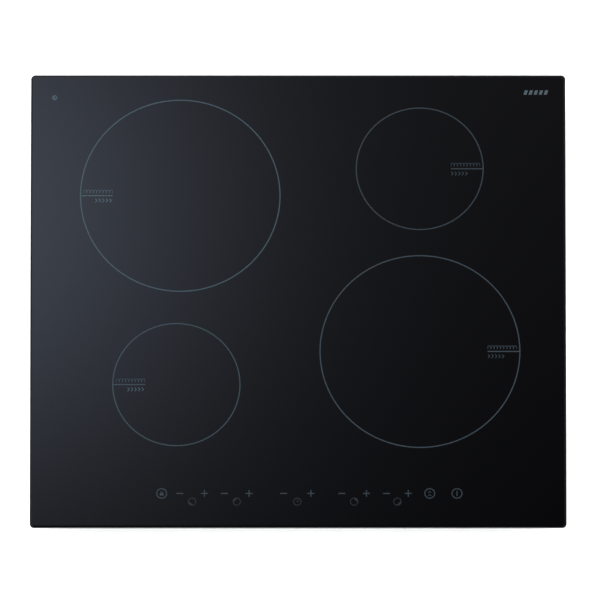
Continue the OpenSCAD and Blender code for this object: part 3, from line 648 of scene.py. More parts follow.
def slimmer_chevrons(islands):
    """The keys' strokes, with the boost key's chevrons slimmer and taller about their common middle."""
    lo, hi, _ = next(i for i in islands if i[1].x - i[0].x > 10 * MM
                     and BOOST_KEY_X[0] < i[0].x and i[1].x < BOOST_KEY_X[1])
    middle = (lo + hi) / 2
    made = []
    for a, b, faces in islands:
        if a.x > lo.x + MM and b.x < hi.x - MM and a.y > lo.y + MM and b.y < hi.y - MM:
            faces = [[Vector((middle.x + (p.x - middle.x) * CHEVRON_SCALE[0],
                              middle.y + (p.y - middle.y) * CHEVRON_SCALE[1], p.z)) for p in face]
                     for face in faces]
        made.append((a, b, faces))
    return made


def eccentric_disc(island):
    """The small mark at the rear left: a disc with a round hole off its middle."""
    lo, hi, _ = island
    middle, width = (lo + hi) / 2, hi.x - lo.x
    outer = circle_outline(width / 2, 40, middle.x, middle.y)
    hole = circle_outline(width * 0.17, 40, middle.x + 0.5 * MM, middle.y + 0.6 * MM)
    rings = ((outer, lo.z), (outer, hi.z), (hole, hi.z), (hole, lo.z))
    bm = bmesh.new()
    loft(bm, [ring_at(outline, z) for outline, z in rings], closed=True)
    faces = [[v.co.copy() for v in face.verts] for face in bm.faces]
    bm.free()
    return lo, hi, faces


for name, islands in sorted(print_groups().items()):
    kind, _, zone = name.partition("_print")
    if kind == "key":
        islands = slimmer_chevrons(islands)
    if kind == "disc":
        islands = [eccentric_disc(i) for i in islands]
    # A zone's colour carries painted light: brighter at the rear left, darker at the rear right
    colour = ENAMEL.get(kind) or ZONE_ENAMEL_PAINTED_LIGHT[zone[1:]]
    if kind == "label":
        colour = scaled(colour, LABEL_GAIN[zone[1:]])
    replaced = {"corner": ["zone_marks"], "key": ["control_marks"]}.get(kind, ())
    add_piece(name, joined_islands(islands), None, "print_enamel", replaced=replaced,
              material=enamel(name + "_enamel", colour, 0.22))

# ---- seal

SEAL_WIDTH = 10 * MM
SEAL_CORNER = 5 * MM
SEAL_WOBBLE = 0.1 * MM
SEAL_STEP = 12 * MM


def seal_tape():
    """A strip with rounded edges that runs round under the glass, a little uneven."""
    lo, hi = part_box("worktop_seal")
    thick, middle = hi.z - lo.z, (lo.z + hi.z) / 2
    rings = []
    for inset, z in rounded_outline(SEAL_WIDTH / 2, thick / 2, thick * 0.42, 4, SEAL_WIDTH / 2, middle):
        corners = rounded_outline(hi.x - inset, hi.y - inset, max(SEAL_CORNER - inset, 0.4 * MM), 8)
        ring = []
        for p, q in zip(corners, corners[1:] + corners[:1]):
            parts = max(1, int(math.dist(p, q) / SEAL_STEP))
            for k in range(parts):
                x, y = (a + (b - a) * k / parts for a, b in zip(p, q))
                swell = SEAL_WOBBLE * (math.sin(x * 310 + y * 170) + 0.6 * math.sin(x * 97 - y * 240)) / 1.6
                pull = 1 + (swell - SEAL_WOBBLE) / hi.x
                ring.append((x * pull, y * pull, z))
        rings.append(ring)
    count = min(len(r) for r in rings)
    rings = [[r[round(i * len(r) / count) % len(r)] for i in range(count)] for r in rings]
    bm = bmesh.new()
    loft(bm, rings, closed=True)
    return bm


stand_in("seal_tape", "worktop_seal", seal_tape(), 50)

# ---- tray

tray_low, tray_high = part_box("base_tray")
SHEET = 1.0 * MM
LEDGE = 8 * MM
WELL_INSET = 30 * MM
TRAY_CORNER = 4 * MM
OUTER_BEND = 1.8 * MM
BEAD_WIDTH, RIB_HEIGHT = 8.6 * MM, 2.2 * MM
GROOVE_WIDTH, GROOVE_DEPTH = 7 * MM, 1.4 * MM
SEAM_FOOT, SEAM_TOP = -38.5 * MM, -4.5 * MM
CORNERS = ("_front_left", "_front_right", "_rear_left", "_rear_right")
VENT_PITCH = 22
THROUGH = 3 * MM  # how far each cutting tool reaches to either side of the sheet


def tray_shell(inset, top, bend):
    """Stepped box: the full width above the ledge, the narrower well below it, with bent edges."""
    x1, y1 = tray_high.x - inset, tray_high.y - inset
    x0 = tray_high.x - WELL_INSET - inset
    ledge_z, floor = tray_low.z + LEDGE + inset, tray_low.z + inset
    section = [(-x1, top), (-x1, ledge_z), (-x0, ledge_z), (-x0, floor),
               (x0, floor), (x0, ledge_z), (x1, ledge_z), (x1, top)]
    bm = bmesh.new()
    loft(bm, [[(x, y, z) for x, z in section] for y in (-y1, y1)])
    upright = [e for e in bm.edges if abs(e.verts[0].co.z - e.verts[1].co.z) > 1 * MM
               and abs(e.verts[0].co.x - e.verts[1].co.x) < 1e-6]
    bmesh.ops.bevel(bm, geom=upright, offset=TRAY_CORNER - inset, segments=5, profile=0.5, affect="EDGES")
    low_edges = [e for e in bm.edges
                 if all(v.co.z < top - 1 * MM for v in e.verts)
                 and abs(e.verts[0].co.z - e.verts[1].co.z) < 1e-6 and len(e.link_faces) == 2
                 and e.calc_face_angle(0) > math.radians(40)]
    bmesh.ops.bevel(bm, geom=low_edges, offset=bend, segments=4, profile=0.5, affect="EDGES")
    return bm


def slot_outline(length, height):
    r = height / 2
    points = []
    for side, start in ((1, 0), (-1, math.pi)):
        for a in arc(-90, 90, 6):
            points.append((side * (length / 2 - r) + r * math.cos(a + start), r * math.sin(a + start)))
    return points


def stiffening_beads(width, depth, proud):
    """Long rounded ribs on the inside of the floor and walls, or the grooves behind them."""
    tools = bmesh.new()
    profile = [(0, proud)]
    for i, a in list(enumerate(arc(0, 90, 6)))[1 if proud > 0 else 2:]:
        profile.append((width * 0.36 * (1 - math.cos(a)) + 0.06 * width * i / 6, -depth * math.sin(a)))
    floor_beads = [(190, x, -30) for x in (-205, -95, 95, 205)] + [(225, x, -20) for x in (-42, 42)]
    beads = [(length, at(x * MM, y * MM, tray_low.z) @ turn(math.pi, "X") @ turn(QUARTER))
             for length, x, y in floor_beads]
    beads.append((420, at(0, tray_low.y, -40 * MM) @ turn(QUARTER, "X")))
    beads += [(150, at(x * MM, tray_high.y, -40 * MM) @ turn(-QUARTER, "X")) for x in (-150, 150)]
    beads += [(400, at(side * tray_high.x, 0, -34 * MM) @ turn(side * QUARTER, "Y") @ turn(QUARTER))
              for side in (-1, 1)]
    for length, place in beads:
        loft(tools, [ring_at(slot_outline(length * MM - 2 * inset, width - 2 * inset), z, place)
                     for inset, z in profile])
    return tools


def seams_and_welds():
    """Narrow seams where the walls meet and the shallow dimples of spot welds beside them."""
    tools = bmesh.new()
    seam = [(a * 0.5 * MM, b * 0.25 * MM) for a, b in ((-1, -1), (1, -1), (1, 1), (-1, 1))]
    dimple = [(2.4 * MM, 0.2 * MM), (2.4 * MM, -0.02 * MM), (1.7 * MM, -0.25 * MM), (0.4 * MM, -0.32 * MM)]
    for side in (-1, 1):
        outward_x, outward_y = turn(side * QUARTER, "Y"), turn(-side * QUARTER, "X")
        for other in (-1, 1):
            x, y = side * tray_high.x, other * (tray_high.y - 5 * MM)
            prism(tools, [(x + a, y + b) for a, b in seam], SEAM_FOOT, SEAM_TOP)
            for z in (-12 * MM, -22 * MM, -32 * MM):
                along_x, along_y = other * (tray_high.x - 15 * MM), other * (tray_high.y - 13 * MM)
                turned(tools, dimple, at(x, along_y, z) @ outward_x, 20)
                turned(tools, dimple, at(along_x, side * tray_high.y, z) @ outward_y, 20)
    return tools


def tray_openings():
    """Cutting tools for the vents, the fan inlets, the cable gland and the terminal box."""
    tools = bmesh.new()
    facing_y = turn(QUARTER, "X")
    facing_x = turn(QUARTER) @ facing_y

    def cut(outline, x, y, z, way=NOWHERE):
        prism(tools, outline, -THROUGH, THROUGH, at(x, y, z) @ way)

    vent = slot_outline(16 * MM, 3 * MM)
    for middle, side, count in ((120, -1, 7), (-120, -1, 7), (150, 1, 5), (-150, 1, 5)):
        for z in (-20, -26, -32):
            for i in range(count):
                x = (middle + (i - (count - 1) / 2) * VENT_PITCH) * MM
                cut(vent, x, side * tray_high.y, z * MM, facing_y)
    for side in (-1, 1):
        for z in (-20, -26):
            for i in range(9):
                cut(vent, side * tray_high.x, (i - 4) * VENT_PITCH * MM, z * MM, facing_x)
    floor_vent = slot_outline(36 * MM, 3 * MM)
    for x in (-150, 150):
        for i in range(12):
            cut(floor_vent, (x + (i - 5.5) * 9) * MM, -190 * MM, tray_low.z, turn(QUARTER))
    for lo, hi, _ in islands_of("fan_grilles"):
        cut(circle_outline(40 * MM, 64), *centre_of(lo, hi), tray_low.z)
    cut(circle_outline(8 * MM, 40), *centre_of(*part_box("cable_gland")), tray_low.z)
    lo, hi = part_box("terminal_box")
    cut(rounded_outline(hi.x + 0.3 * MM, (hi.z - lo.z) / 2 + 0.15 * MM, 1 * MM, 3),
        0, tray_high.y, (lo.z + hi.z) / 2, facing_y)
    return tools


def tray_sheet():
    mesh = mesh_from("tray", tray_shell(0, tray_high.z, OUTER_BEND))
    mesh = combined(mesh, tray_shell(SHEET, tray_high.z + 5 * MM, OUTER_BEND / 2))
    mesh = combined(mesh, stiffening_beads(BEAD_WIDTH, RIB_HEIGHT, -0.5 * MM), "UNION")
    mesh = combined(mesh, tray_openings())
    mesh = combined(mesh, stiffening_beads(GROOVE_WIDTH, GROOVE_DEPTH, 0.3 * MM))
    mesh = combined(mesh, seams_and_welds())
    smooth(mesh, 30)
    return mesh


stand_in("tray_sheet", "base_tray", tray_sheet())


def tray_bosses():
    """Extruded board bosses and clamp bosses that stand on the tray sheet."""
    bm = bmesh.new()
    boards = [(-232, -142), (-84, -142), (-232, 90), (-84, 90)]
    spots = [(s * x, y) for x, y in boards for s in (1, -1)] + [(-54, 66), (54, 66), (-54, 166), (54, 166)]
    floor, ledge = tray_low.z + SHEET, tray_low.z + LEDGE + SHEET
    low = [(1.5, 5), (1.5, -0.3), (6.2, -0.3), (5.2, 0.15), (4.2, 0.9), (3.6, 2.2), (3.5, 4.6), (3.1, 5)]
    high = [(2.05, 3), (2.05, -0.3), (6.5, -0.3), (5.6, 0.1), (4.8, 0.7), (4.5, 1.6), (4.5, 2.7), (4.2, 3)]
    places = [(low, at(x * MM, y * MM, floor)) for x, y in spots]
    for corner in CORNERS:
        lo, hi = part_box("clamp" + corner)
        y = (lo.y + 8 * MM) if "front" in corner else (hi.y - 8 * MM)
        places.append((high, at((lo.x + hi.x) / 2, y, ledge)))
    for profile, place in places:
        turned(bm, [(r * MM, z * MM) for r, z in profile], place, 28, closed=True)
    return bm


add_piece("tray_bosses", tray_bosses(), 40, "galvanised_sheet")

# ---- screws


def cross_screw(head_r, head_h, shank_r, shank_l):
    """Pan head with a cross recess, standing on z = 0, shank downwards, with a rolled thread."""
    profile = [(0.2 * MM, -shank_l), (shank_r * 0.6, -shank_l)]
    turns = max(3, int(shank_l / (0.9 * MM)))
    for i in range(turns):
        z = -shank_l + shank_l * 0.12 + (shank_l * 0.8) * i / turns
        profile += [(shank_r * 0.82, z), (shank_r, z + shank_l * 0.4 / turns)]
    profile += [(shank_r, -0.05 * MM), (shank_r, 0), (head_r * 0.97, 0), (head_r, head_h * 0.12)]
    for a in arc(15, 90, 6):
        profile.append((head_r * max(math.cos(a) ** 0.6, 0.03), head_h * (0.15 + 0.85 * math.sin(a))))
    bm = bmesh.new()
    turned(bm, profile)
    mesh = mesh_from("screw", bm)
    top = box_outline(head_r * 0.62, head_r * 0.15)
    foot = [(x * 0.45, y * 0.7) for x, y in top]
    for way in (turn(0), turn(QUARTER)):
        recess = bmesh.new()
        loft(recess, [ring_at(foot, head_h * 0.35, way), ring_at(top, head_h * 1.2, way)])
        mesh = combined(mesh, recess)
    return mesh


def screws_at(name, node, mesh, places):
    """One piece with a copy of the screw at each place."""
    bm = bmesh.new()
    for place in places:
        before = len(bm.verts)
        bm.from_mesh(mesh)
        bm.verts.ensure_lookup_table()
        bmesh.ops.transform(bm, matrix=place, verts=bm.verts[before:])
    stand_in(name, node, bm, 30)


def wall_screws():
    """Screws through the tray's walls, each facing out and turned a little further than the last."""
    places = []
    for index, (lo, hi, _) in enumerate(islands_of("frame_screws")):
        x, y, z = (lo + hi) / 2
        spin = turn(index * 0.7)
        if abs(y) > tray_high.y - 5 * MM:
            side = 1 if y > 0 else -1
            places.append(at(x, side * tray_high.y, z) @ turn(-side * QUARTER, "X") @ spin)
        else:
            side = 1 if x > 0 else -1
            places.append(at(side * tray_high.x, y, z) @ turn(side * QUARTER, "Y") @ spin)
    screws_at("wall_screws", "frame_screws", cross_screw(3.4 * MM, 1.7 * MM, 1.75 * MM, 2.6 * MM), places)


def board_screws():
    head = 1.8 * MM
    places = []
    for index, (lo, hi, _) in enumerate(islands_of("inner_screws")):
        places.append(at(*centre_of(lo, hi), hi.z - head) @ turn(index * 0.9))
    screws_at("board_screws", "inner_screws", cross_screw(3 * MM, head, 1.4 * MM, 6 * MM), places)


wall_screws()
board_screws()

# ---- parts with rounded edges

ZONES = ("rear_left", "rear_right", "front_left", "front_right")
PLAIN, SIDES = ("",), ("_left", "_right")

# Nodes by the endings of their names, and how wide their rounded edges are in millimetres
for endings, widths in (
        (PLAIN, {"terminal_box": 0.5, "terminal_cover": 0.35, "terminal_block": 0.5}),
        (CORNERS, {"clamp": 0.3}),
        (PLAIN, {"clamp_pivot_screws": 0.25, "glass_frame": 0.2, "cable_gland": 0.5, "film_capacitors": 1.2}),
        (SIDES, {"impeller": 0.2, "rotor_shaft": 0.3, "blower_housing": 0.4, "heatsink": 0.25,
                 "power_board": 0.2, "coil_carrier": 0.3}),
        (["_" + zone for zone in ZONES], {"coil_former": 0.35, "ferrite_bars": 0.5}),
        (PLAIN, {"blower_stators": 0.4, "mica_discs": 0.15, "temp_sensors": 0.4, "carrier_posts": 0.4,
                 "power_transistors": 0.4, "filter_board": 0.2, "ui_tray": 0.3, "ui_board": 0.2,
                 "digit_displays": 0.3, "glass_adhesive": 0.4})):
    for ending in endings:
        for node, width in widths.items():
            finished(node + ending, width * MM)

# ---- air inlet grilles

GRILLE_HEIGHT = 2.5 * MM
THROAT_INNER, THROAT_OUTER, FLANGE_OUTER = 37.9 * MM, 39.7 * MM, 44 * MM
BAR_HALF = 1.1 * MM
BAR_REACH = 38.9 * MM
BAR_TILT = 0.02 * MM  # keeps the crossing bars' faces from lying in one plane


def band(bm, place, inner, outer, low, high, r, steps=72):
    """Ring with a rounded section between two radii and two heights."""
    half_w, half_h = (outer - inner) / 2, (high - low) / 2
    section = rounded_outline(half_w, half_h, min(r, half_w, half_h) * 0.98, 3, (inner + outer) / 2,
                              (low + high) / 2)
    rings = [[place @ Vector((a * math.cos(t), a * math.sin(t), z)) for a, z in section]
             for t in whole_turn(steps)]
    loft(bm, rings, closed=True)


def inlet_grilles():
    """Six rings and three bars across them in a flanged throat, one in each fan opening."""
    bm = bmesh.new()
    bottom, floor, top = tray_low.z, tray_low.z + SHEET, tray_low.z + GRILLE_HEIGHT
    bar = rounded_outline(BAR_HALF, SHEET / 2, 0.35 * MM, 3, 0, (bottom + floor) / 2)
    for lo, hi, _ in islands_of("fan_grilles"):
        place = at(*centre_of(lo, hi), 0)
        band(bm, place, THROAT_INNER, THROAT_OUTER, bottom, floor + 0.2 * MM, 0.4 * MM)
        band(bm, place, THROAT_INNER, FLANGE_OUTER, floor, top, 0.4 * MM)
        for i in range(6):
            r = (6 + 5.6 * i) * MM
            band(bm, place, r - BAR_HALF, r + BAR_HALF, bottom, floor, 0.45 * MM)
        for i in range(3):
            way = place @ turn(math.pi * i / 3)
            loft(bm, [[way @ Vector((x, y, z + BAR_TILT * (x < 0))) for y, z in bar]
                      for x in (-BAR_REACH, BAR_REACH)])
    stand_in("inlet_grilles", "fan_grilles", bm, 40)


inlet_grilles()

# ---- coils, springs and chokes

WINDING_EYE = 22 * MM
WINDING_PITCH = 4 * MM


def spiral_winding(node, steps=84):
    """Flat spiral of stranded wire that fills the node's ring."""
    lo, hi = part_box(node)
    x, y, z = (lo + hi) / 2
    outer = (hi.x - lo.x) / 2
    turns = math.floor((outer - WINDING_EYE) / WINDING_PITCH)
    pitch = (outer - WINDING_EYE) / turns
    half_high = (hi.z - lo.z) / 2
    section = [(0.47 * pitch * math.cos(a), half_high * math.sin(a)) for a in whole_turn(10)]
    path = []
    for i in range(turns * steps - steps + 1):
        r = WINDING_EYE + pitch * (0.5 + i / steps)
        a = FULL * i / steps
        path.append((x + r * math.cos(a), y + r * math.sin(a), z))
    bm = bmesh.new()
    swept(bm, path, section)
    stand_in(node + "_spiral", node, bm, 50)


for zone in ZONES:
    spiral_winding("coil_winding_" + zone)


def spring_path(low_r, high_r, height, turns, steps=22):
    """A helix whose end turns lie flat."""
    path = []
    count = int(turns * steps)
    flat = 0.8 / turns
    for i in range(count + 1):
        t = i / count
        a = FULL * turns * t
        rise = min(max((t - flat) / (1 - 2 * flat), 0), 1)
        r = low_r + (high_r - low_r) * rise
        path.append((r * math.cos(a), r * math.sin(a), height * rise))
    return path


def helical_springs(name, node, wire, turns, cone=0.0):
    """A coil of wire in place of each of the node's solids; cone is how much narrower its foot is."""
    bm = bmesh.new()
    section = circle_outline(wire, 8)
    for lo, hi, _ in islands_of(node):
        middle_x, middle_y = centre_of(lo, hi)
        r = (hi.x - lo.x) / 2 - wire
        path = spring_path(r - cone, r, hi.z - lo.z - 2 * wire, turns)
        swept(bm, [(middle_x + x, middle_y + y, lo.z + wire + z) for x, y, z in path], section)
    stand_in(name, node, bm, 60)


helical_springs("coil_spring_wire", "coil_springs", 0.45 * MM, 6.5)
helical_springs("touch_spring_wire", "touch_springs", 0.25 * MM, 6.0, 1.7 * MM)

CHOKE_WIRE = 0.8 * MM
CHOKE_TURNS = 15
CHOKE_STEPS = 20
CHOKE_SPREAD = 156  # degrees of the core that each half winding covers


def toroid_chokes():
    """Ring cores with two half windings each."""
    cores, wires = bmesh.new(), bmesh.new()
    for lo, hi, _ in islands_of("power_chokes"):
        x, y, z = (lo + hi) / 2
        half = (hi.z - lo.z) / 2
        major = (hi.x - lo.x) / 2 - half
        core = half - 2 * CHOKE_WIRE - 0.1 * MM
        loft(cores, [[(x + (major + a) * math.cos(t), y + (major + a) * math.sin(t), z + b)
                      for a, b in rounded_outline(core, core, core * 0.35, 4)]
                     for t in whole_turn(64)], closed=True)
        reach = core + CHOKE_WIRE * 1.05
        count = CHOKE_TURNS * CHOKE_STEPS
        for start in (12, 192):
            path = []
            for i in range(count + 1):
                t = math.radians(start + CHOKE_SPREAD * i / count)
                phi = FULL * i / CHOKE_STEPS
                r = major + reach * math.cos(phi)
                path.append((x + r * math.cos(t), y + r * math.sin(t), z + reach * math.sin(phi)))
            swept(wires, path, circle_outline(CHOKE_WIRE, 8))
    add_piece("choke_cores", cores, 40, "ferrite")
    stand_in("choke_windings", "power_chokes", wires, 60)


toroid_chokes()

# ---- wires

# Routes are (y, z) points in millimetres; a lead's y counts from where it leaves its coil
WIRE_SECTION = circle_outline(1.6 * MM, 12)
LEAD_INSET = 14
LEAD_ROUTE = [(0, -6.8), (0, -14), (-2, -22), (-7, -29), (-12, -35), (-14, -39), (-14, -42.4)]
LEAD_ANGLE = {"rear_left": 225, "rear_right": 300, "front_left": 180, "front_right": 315}
MAINS_ROUTE = [(196, -36), (188, -36), (181, -36.6), (174, -38.4), (170, -40), (168, -41.5), (168, -42.4)]
MAINS_COLOURS = {
    -14: ("brown", (0.16, 0.055, 0.02)),
    0: ("blue", (0.03, 0.10, 0.42)),
    14: ("green", (0.09, 0.32, 0.06)),
}
RIBBON_ROUTE = [(-209, -6), (-209, -16), (-207, -26), (-200, -33), (-190, -36), (-100, -37), (0, -37),
                (50, -37), (60, -37.6), (66, -39.6), (67, -41), (67, -42.4)]


def coil_lead_sleeves():
    bm = bmesh.new()
    for zone in ZONES:
        lo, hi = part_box("coil_former_" + zone)
        x, y = centre_of(lo, hi)
        reach, angle = (hi.x - lo.x) / 2 / MM - LEAD_INSET, math.radians(LEAD_ANGLE[zone])
        x, y = x / MM + reach * math.cos(angle), y / MM + reach * math.sin(angle)
        for offset in (-4, 4):
            swept(bm, curve_through([(x + offset, y + a, b) for a, b in LEAD_ROUTE]), WIRE_SECTION)
    stand_in("coil_lead_sleeves", "coil_leads", bm, 50)


def mains_wires():
    for x, (shade, colour) in MAINS_COLOURS.items():
        name = "mains_wire_" + shade
        bm = bmesh.new()
        swept(bm, curve_through([(x, a, b) for a, b in MAINS_ROUTE]), WIRE_SECTION)
        add_piece(name, bm, 50, "wire_vinyl", replaced=["mains_wires"] if x == 0 else (),
                  material=moulded(name, colour, 0.38, 400))


def ribbon_strip(cores=12, width=16):
    """A flat cable of rounded cores side by side."""
    section = []
    for i in range(cores):
        for a in (20, 90, 160):
            section.append(((-8 + (i + 0.5) * width / cores + 0.62 * math.cos(math.radians(180 - a))) * MM,
                            0.6 * math.sin(math.radians(a)) * MM))
    section += [(x, -z) for x, z in reversed(section)]
    bm = bmesh.new()
    swept(bm, curve_through([(0, a, b) for a, b in RIBBON_ROUTE]), section)
    stand_in("ribbon_strip", "ribbon_cable", bm, 50)


coil_lead_sleeves()
mains_wires()
ribbon_strip()

# ---- terminal screws


def slotted_screws():
    solids = islands_of("terminal_screws")
    lo, hi, _ = solids[0]
    r, length = (hi.x - lo.x) / 2, hi.y - lo.y
    profile = [(0.2 * MM, 0), (r, 0), (r, length * 0.6), (r * 0.94, length * 0.85), (r * 0.7, length)]
    bm = bmesh.new()
    turned(bm, profile)
    slot = bmesh.new()
    prism(slot, box_outline(1.2 * r, 0.17 * r), length * 0.45, length * 1.5)
    mesh = softened(combined(mesh_from("screw", bm), slot), 0.12 * MM)
    places = []
    for i, (lo, hi, _) in enumerate(solids):
        x, _, z = (lo + hi) / 2
        places.append(at(x, lo.y, z) @ turn(-QUARTER, "X") @ turn(0.5 + 1.1 * i))
    screws_at("terminal_slotted_screws", "terminal_screws", mesh, places)


slotted_screws()

# ---- small parts on the boards

# What already stands on the boards or just above them
IN_THE_WAY = ("film_capacitors", "power_chokes", "heatsink_left", "heatsink_right", "power_transistors",
              "inner_screws", "blower_housing_left", "blower_housing_right", "carrier_posts", "coil_leads",
              "mains_wires", "ribbon_cable")
TRIES = {"power_board_left": 150, "power_board_right": 150, "filter_board": 60}
CAN_SHARE, CHIP_SHARE = 0.12, 0.3  # cans below the first, large chips up to the second, then small ones
LARGE_CHIPS = ((10, 6, 2.2), (6, 10, 2.2), (7, 7, 1.6))
SMALL_CHIPS = ((3.2, 1.6, 0.8), (1.6, 3.2, 0.8), (2.0, 1.25, 0.7))
BOARD_EDGE = 3 * MM
dice = random.Random(7)


def rounded_block(bm, centre, size, r, steps=3):
    """Box with rounded edges, standing on z."""
    x, y, z = centre
    w, d, h = size
    rings = []
    for inset, level in ((r * 0.3, 0), (0, r * 0.4), (0, h - r), (r * 0.3, h - r * 0.3), (r, h)):
        outline = rounded_outline(w / 2 - inset, d / 2 - inset, max(r - inset, r * 0.3), steps, x, y)
        rings.append(ring_at(outline, z + level))
    loft(bm, rings)


def can(bm, centre, r, h):
    """An electrolytic capacitor with a rolled-in neck and a lowered top."""
    profile = [(r * 0.9, 0), (r, 0.4 * MM), (r, 1.2 * MM), (r * 0.94, 1.8 * MM), (r, 2.4 * MM),
               (r, h - 0.6 * MM), (r * 0.95, h - 0.1 * MM), (r * 0.86, h), (r * 0.8, h - 0.35 * MM),
               (r * 0.1, h - 0.35 * MM)]
    turned(bm, profile, at(*centre), 28)


def terminations(bm, centre, size, pins):
    """Solder at both ends of a small part, or four pins at both ends of a chip."""
    x, y, z = centre
    w, d, h = size
    across = (1, 0) if w >= d else (0, 1)
    wide = min(w, d) * (0.92 if pins == 1 else 0.12)
    long = 0.5 * MM if pins == 1 else 1.6 * MM
    for side in (-1, 1):
        for pin in range(pins):
            slide = (pin - (pins - 1) / 2) * min(w, d) / 4.5
            px = x + across[0] * side * max(w, d) / 2 + across[1] * slide
            py = y + across[1] * side * max(w, d) / 2 + across[0] * slide
            block = (long, wide) if across[0] else (wide, long)
            rounded_block(bm, (px, py, z), (*block, min(h * 0.9, 0.6 * MM)), 0.1 * MM, 1)


def small_parts():
    """Cans, chips and their solder, thrown on the boards wherever there is room."""
    taken = [(lo, hi) for node in IN_THE_WAY for lo, hi, _ in islands_of(node)]
    chips, cans, ends = bmesh.new(), bmesh.new(), bmesh.new()
    for node, tries in TRIES.items():
        lo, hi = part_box(node)
        for _ in range(tries):
            kind = dice.random()
            if kind < CAN_SHARE:
                w = d = dice.choice((8, 10, 13)) * MM
                h = dice.choice((12, 14)) * MM
            else:
                w, d, h = (a * MM for a in dice.choice(LARGE_CHIPS if kind < CHIP_SHARE else SMALL_CHIPS))
            x = dice.uniform(lo.x + w / 2 + BOARD_EDGE, hi.x - w / 2 - BOARD_EDGE)
            y = dice.uniform(lo.y + d / 2 + BOARD_EDGE, hi.y - d / 2 - BOARD_EDGE)
            if any(a.x - w / 2 - MM < x < b.x + w / 2 + MM and a.y - d / 2 - MM < y < b.y + d / 2 + MM
                   and a.z < hi.z + h + MM for a, b in taken):
                continue
            taken.append((Vector((x - w / 2, y - d / 2, hi.z)), Vector((x + w / 2, y + d / 2, hi.z + h))))
            if kind < CAN_SHARE:
                can(cans, (x, y, hi.z), w / 2, h)
            else:
                rounded_block(chips, (x, y, hi.z), (w, d, h), min(0.25 * MM, h * 0.3))
                terminations(ends, (x, y, hi.z), (w, d, h), 1 if kind >= CHIP_SHARE else 4)
    add_piece("board_chips", chips, 40, "epoxy_packages")
    add_piece("board_cans", cans, 40, "epoxy_packages",
              material=moulded("capacitor_sleeve", (0.018, 0.028, 0.06), 0.3, 500))
    add_piece("board_solder", ends, 40, "zinc_screws")


small_parts()

# ---- stage

# Camera: the photograph looks down at this elevation from the front
CAMERA_ELEVATION = math.radians(73.5)
CAMERA_DISTANCE = 28.0
SENSOR_WIDTH = 36
HALF_VIEW = 0.33034
AIM_RIGHT = 0.0020
AIM_UP = 0.00063
glass_centre = Vector((0, 0, glass_high.z))
back = Vector((0, -math.cos(CAMERA_ELEVATION), math.sin(CAMERA_ELEVATION)))
image_up = Vector((0, math.sin(CAMERA_ELEVATION), math.cos(CAMERA_ELEVATION)))
camera_data = bpy.data.cameras.new("camera")
camera_data.sensor_width = SENSOR_WIDTH
camera_data.lens = SENSOR_WIDTH / 2 * CAMERA_DISTANCE / HALF_VIEW
camera_data.clip_start = 0.1
camera_data.clip_end = 200
camera = linked("camera", camera_data)
camera.location = glass_centre + Vector((AIM_RIGHT, 0, 0)) + image_up * AIM_UP + back * CAMERA_DISTANCE
camera.rotation_euler = (math.pi / 2 - CAMERA_ELEVATION, 0, 0)
scene.camera = camera


def stage_object(name, bm, material, glossy_only=False):
    mesh = bpy.data.meshes.new(name)
    bm.to_mesh(mesh)
    bm.free()
    mesh.materials.append(material)
    obj = linked(name, mesh)
    if glossy_only:
        for ray in ("camera", "diffuse", "shadow", "transmission"):
            setattr(obj, "visible_" + ray, False)


def square(half, z, y=0.0):
    bm = bmesh.new()
    bm.faces.new([bm.verts.new((a, y + b, z)) for a, b in box_outline(half, half)])
    return bm


floor_z = cad_box[0].z - 0.0002
g = Graph("floor_paint", Specular_IOR_Level=0.1)
speckle = g.noise(40, 4, 0.6)
g.set(Base_Color=g.mix(g.spread(speckle, 0, 1), (0.90, 0.90, 0.90), (0.93, 0.93, 0.93)),
      Roughness=g.spread(speckle, 0.7, 0.85))
stage_object("floor", square(40, floor_z), g.material)

# A soft panel that the glass reflects: a bell of cool light towards the rear left, over a faint
# veil that slopes down to the front right and rises towards the panel's sides and rear
PANEL_HEIGHT = 1.5
PANEL_HALF = 1.2
PANEL_STRENGTH = 1.635
BELL_COLOUR = (0.655, 0.765, 1.0)
BELL_CENTRE = (-0.439, 0.108)
BELL_WIDTH = (0.307, 0.314)
VEIL_COLOUR = (0.98, 1.0, 1.13)
VEIL_GAIN = 0.61
VEIL_SLOPE = (-0.149, 0.160)
VEIL_MIDDLE = 0.1340
VEIL_LEAST = 0.03
BLACK = (0, 0, 0)
panel_y = PANEL_HEIGHT / math.tan(CAMERA_ELEVATION)
panel_z = glass_high.z + PANEL_HEIGHT
g = Graph("panel_glow", "Emission")
axes = g.node("SeparateXYZ", ((0, g.where),)).outputs
along = (axes[0], g.math("SUBTRACT", axes[1], panel_y))
squares = []
for coordinate, centre, width in zip(along, BELL_CENTRE, BELL_WIDTH):
    offset = g.math("DIVIDE", g.math("SUBTRACT", coordinate, centre), width)
    squares.append(g.math("MULTIPLY", offset, offset))
bell = g.math("EXPONENT", g.math("MULTIPLY", g.math("ADD", *squares), -1.0))
slope = g.math("ADD", *[g.math("MULTIPLY", coordinate, fall) for coordinate, fall in zip(along, VEIL_SLOPE)])
sides = g.spread(g.math("ABSOLUTE", along[0]), 0, 0.3, 0.35, 0.45)
rim = g.math("ADD", sides, g.spread(along[1], 0, 0.5, 0.31, 0.42))
veil = g.math("ADD", g.math("MAXIMUM", g.math("ADD", slope, VEIL_MIDDLE), VEIL_LEAST), rim)
bell_light = g.mix(bell, BLACK, BELL_COLOUR)
veil_light = g.mix(g.math("MULTIPLY", veil, VEIL_GAIN), BLACK, VEIL_COLOUR)
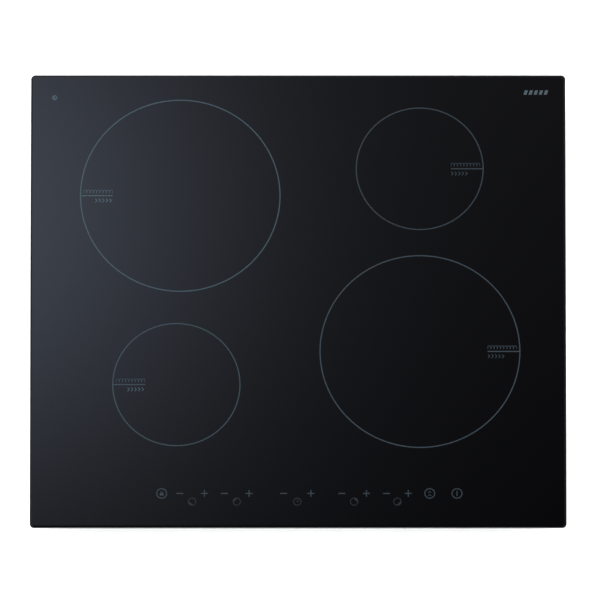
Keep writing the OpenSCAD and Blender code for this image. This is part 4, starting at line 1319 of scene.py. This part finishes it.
g.set(Color=g.mix(1.0, bell_light, veil_light, "ADD"), Strength=PANEL_STRENGTH)
stage_object("soft_panel", square(PANEL_HALF, panel_z, panel_y), g.material, glossy_only=True)

# A low round wall that only reflections see: grey in the middle, darker towards its top and
# foot, with seven lighter patches around it
WALL_RADIUS = 2.6
WALL_TOP = 2.4
WALL_STEPS = 96
WALL_LEVELS = ((0.0, 0.08), (0.12, 0.12), (0.25, 0.20), (0.33, 0.26), (0.42, 0.20), (0.56, 0.09),
               (0.75, 0.13), (0.88, 0.17), (1.0, 0.05))
g = Graph("wall_glow", "Emission")
axes = g.node("SeparateXYZ", ((0, g.where),)).outputs
azimuth = g.math("ARCTAN2", axes[1], axes[0])
bands = g.math("SINE", g.math("MULTIPLY_ADD", azimuth, 7.0, -0.785))
patches = g.spread(bands, 0.45, 1.35, -1, 1)
levels = g.ramp(g.math("DIVIDE", axes[2], WALL_TOP), *WALL_LEVELS)
g.set(Color=(0.93, 1.0, 1.12), Strength=g.math("MULTIPLY", patches, levels))
bm = bmesh.new()
low, high = [[bm.verts.new((x, y, z)) for x, y in circle_outline(WALL_RADIUS, WALL_STEPS)]
             for z in (floor_z, WALL_TOP)]
for i in range(WALL_STEPS):
    j = (i + 1) % WALL_STEPS
    bm.faces.new((low[i], low[j], high[j], high[i]))
stage_object("glow_wall", bm, g.material, glossy_only=True)

# One very large soft light overhead gives the floor and the matt parts their light
SKY_SIZE = 30
SKY_HEIGHT = 9
SKY_RADIANCE = 3.5
light_data = bpy.data.lights.new("sky_panel", "AREA")
light_data.shape = "SQUARE"
light_data.size = SKY_SIZE
light_data.energy = SKY_SIZE ** 2 * math.pi * SKY_RADIANCE
light = linked("sky_panel", light_data)
light.location = (0, 0, SKY_HEIGHT)
light.visible_camera = False
light.visible_glossy = False

world = bpy.data.worlds.new("world")
scene.world = world
world.use_nodes = True
world.node_tree.nodes["Background"].inputs["Color"].default_value = (0.05, 0.055, 0.065, 1)

view = scene.view_settings
view.view_transform = "Standard"
view.look = "None"
view.exposure = 0
view.gamma = 1
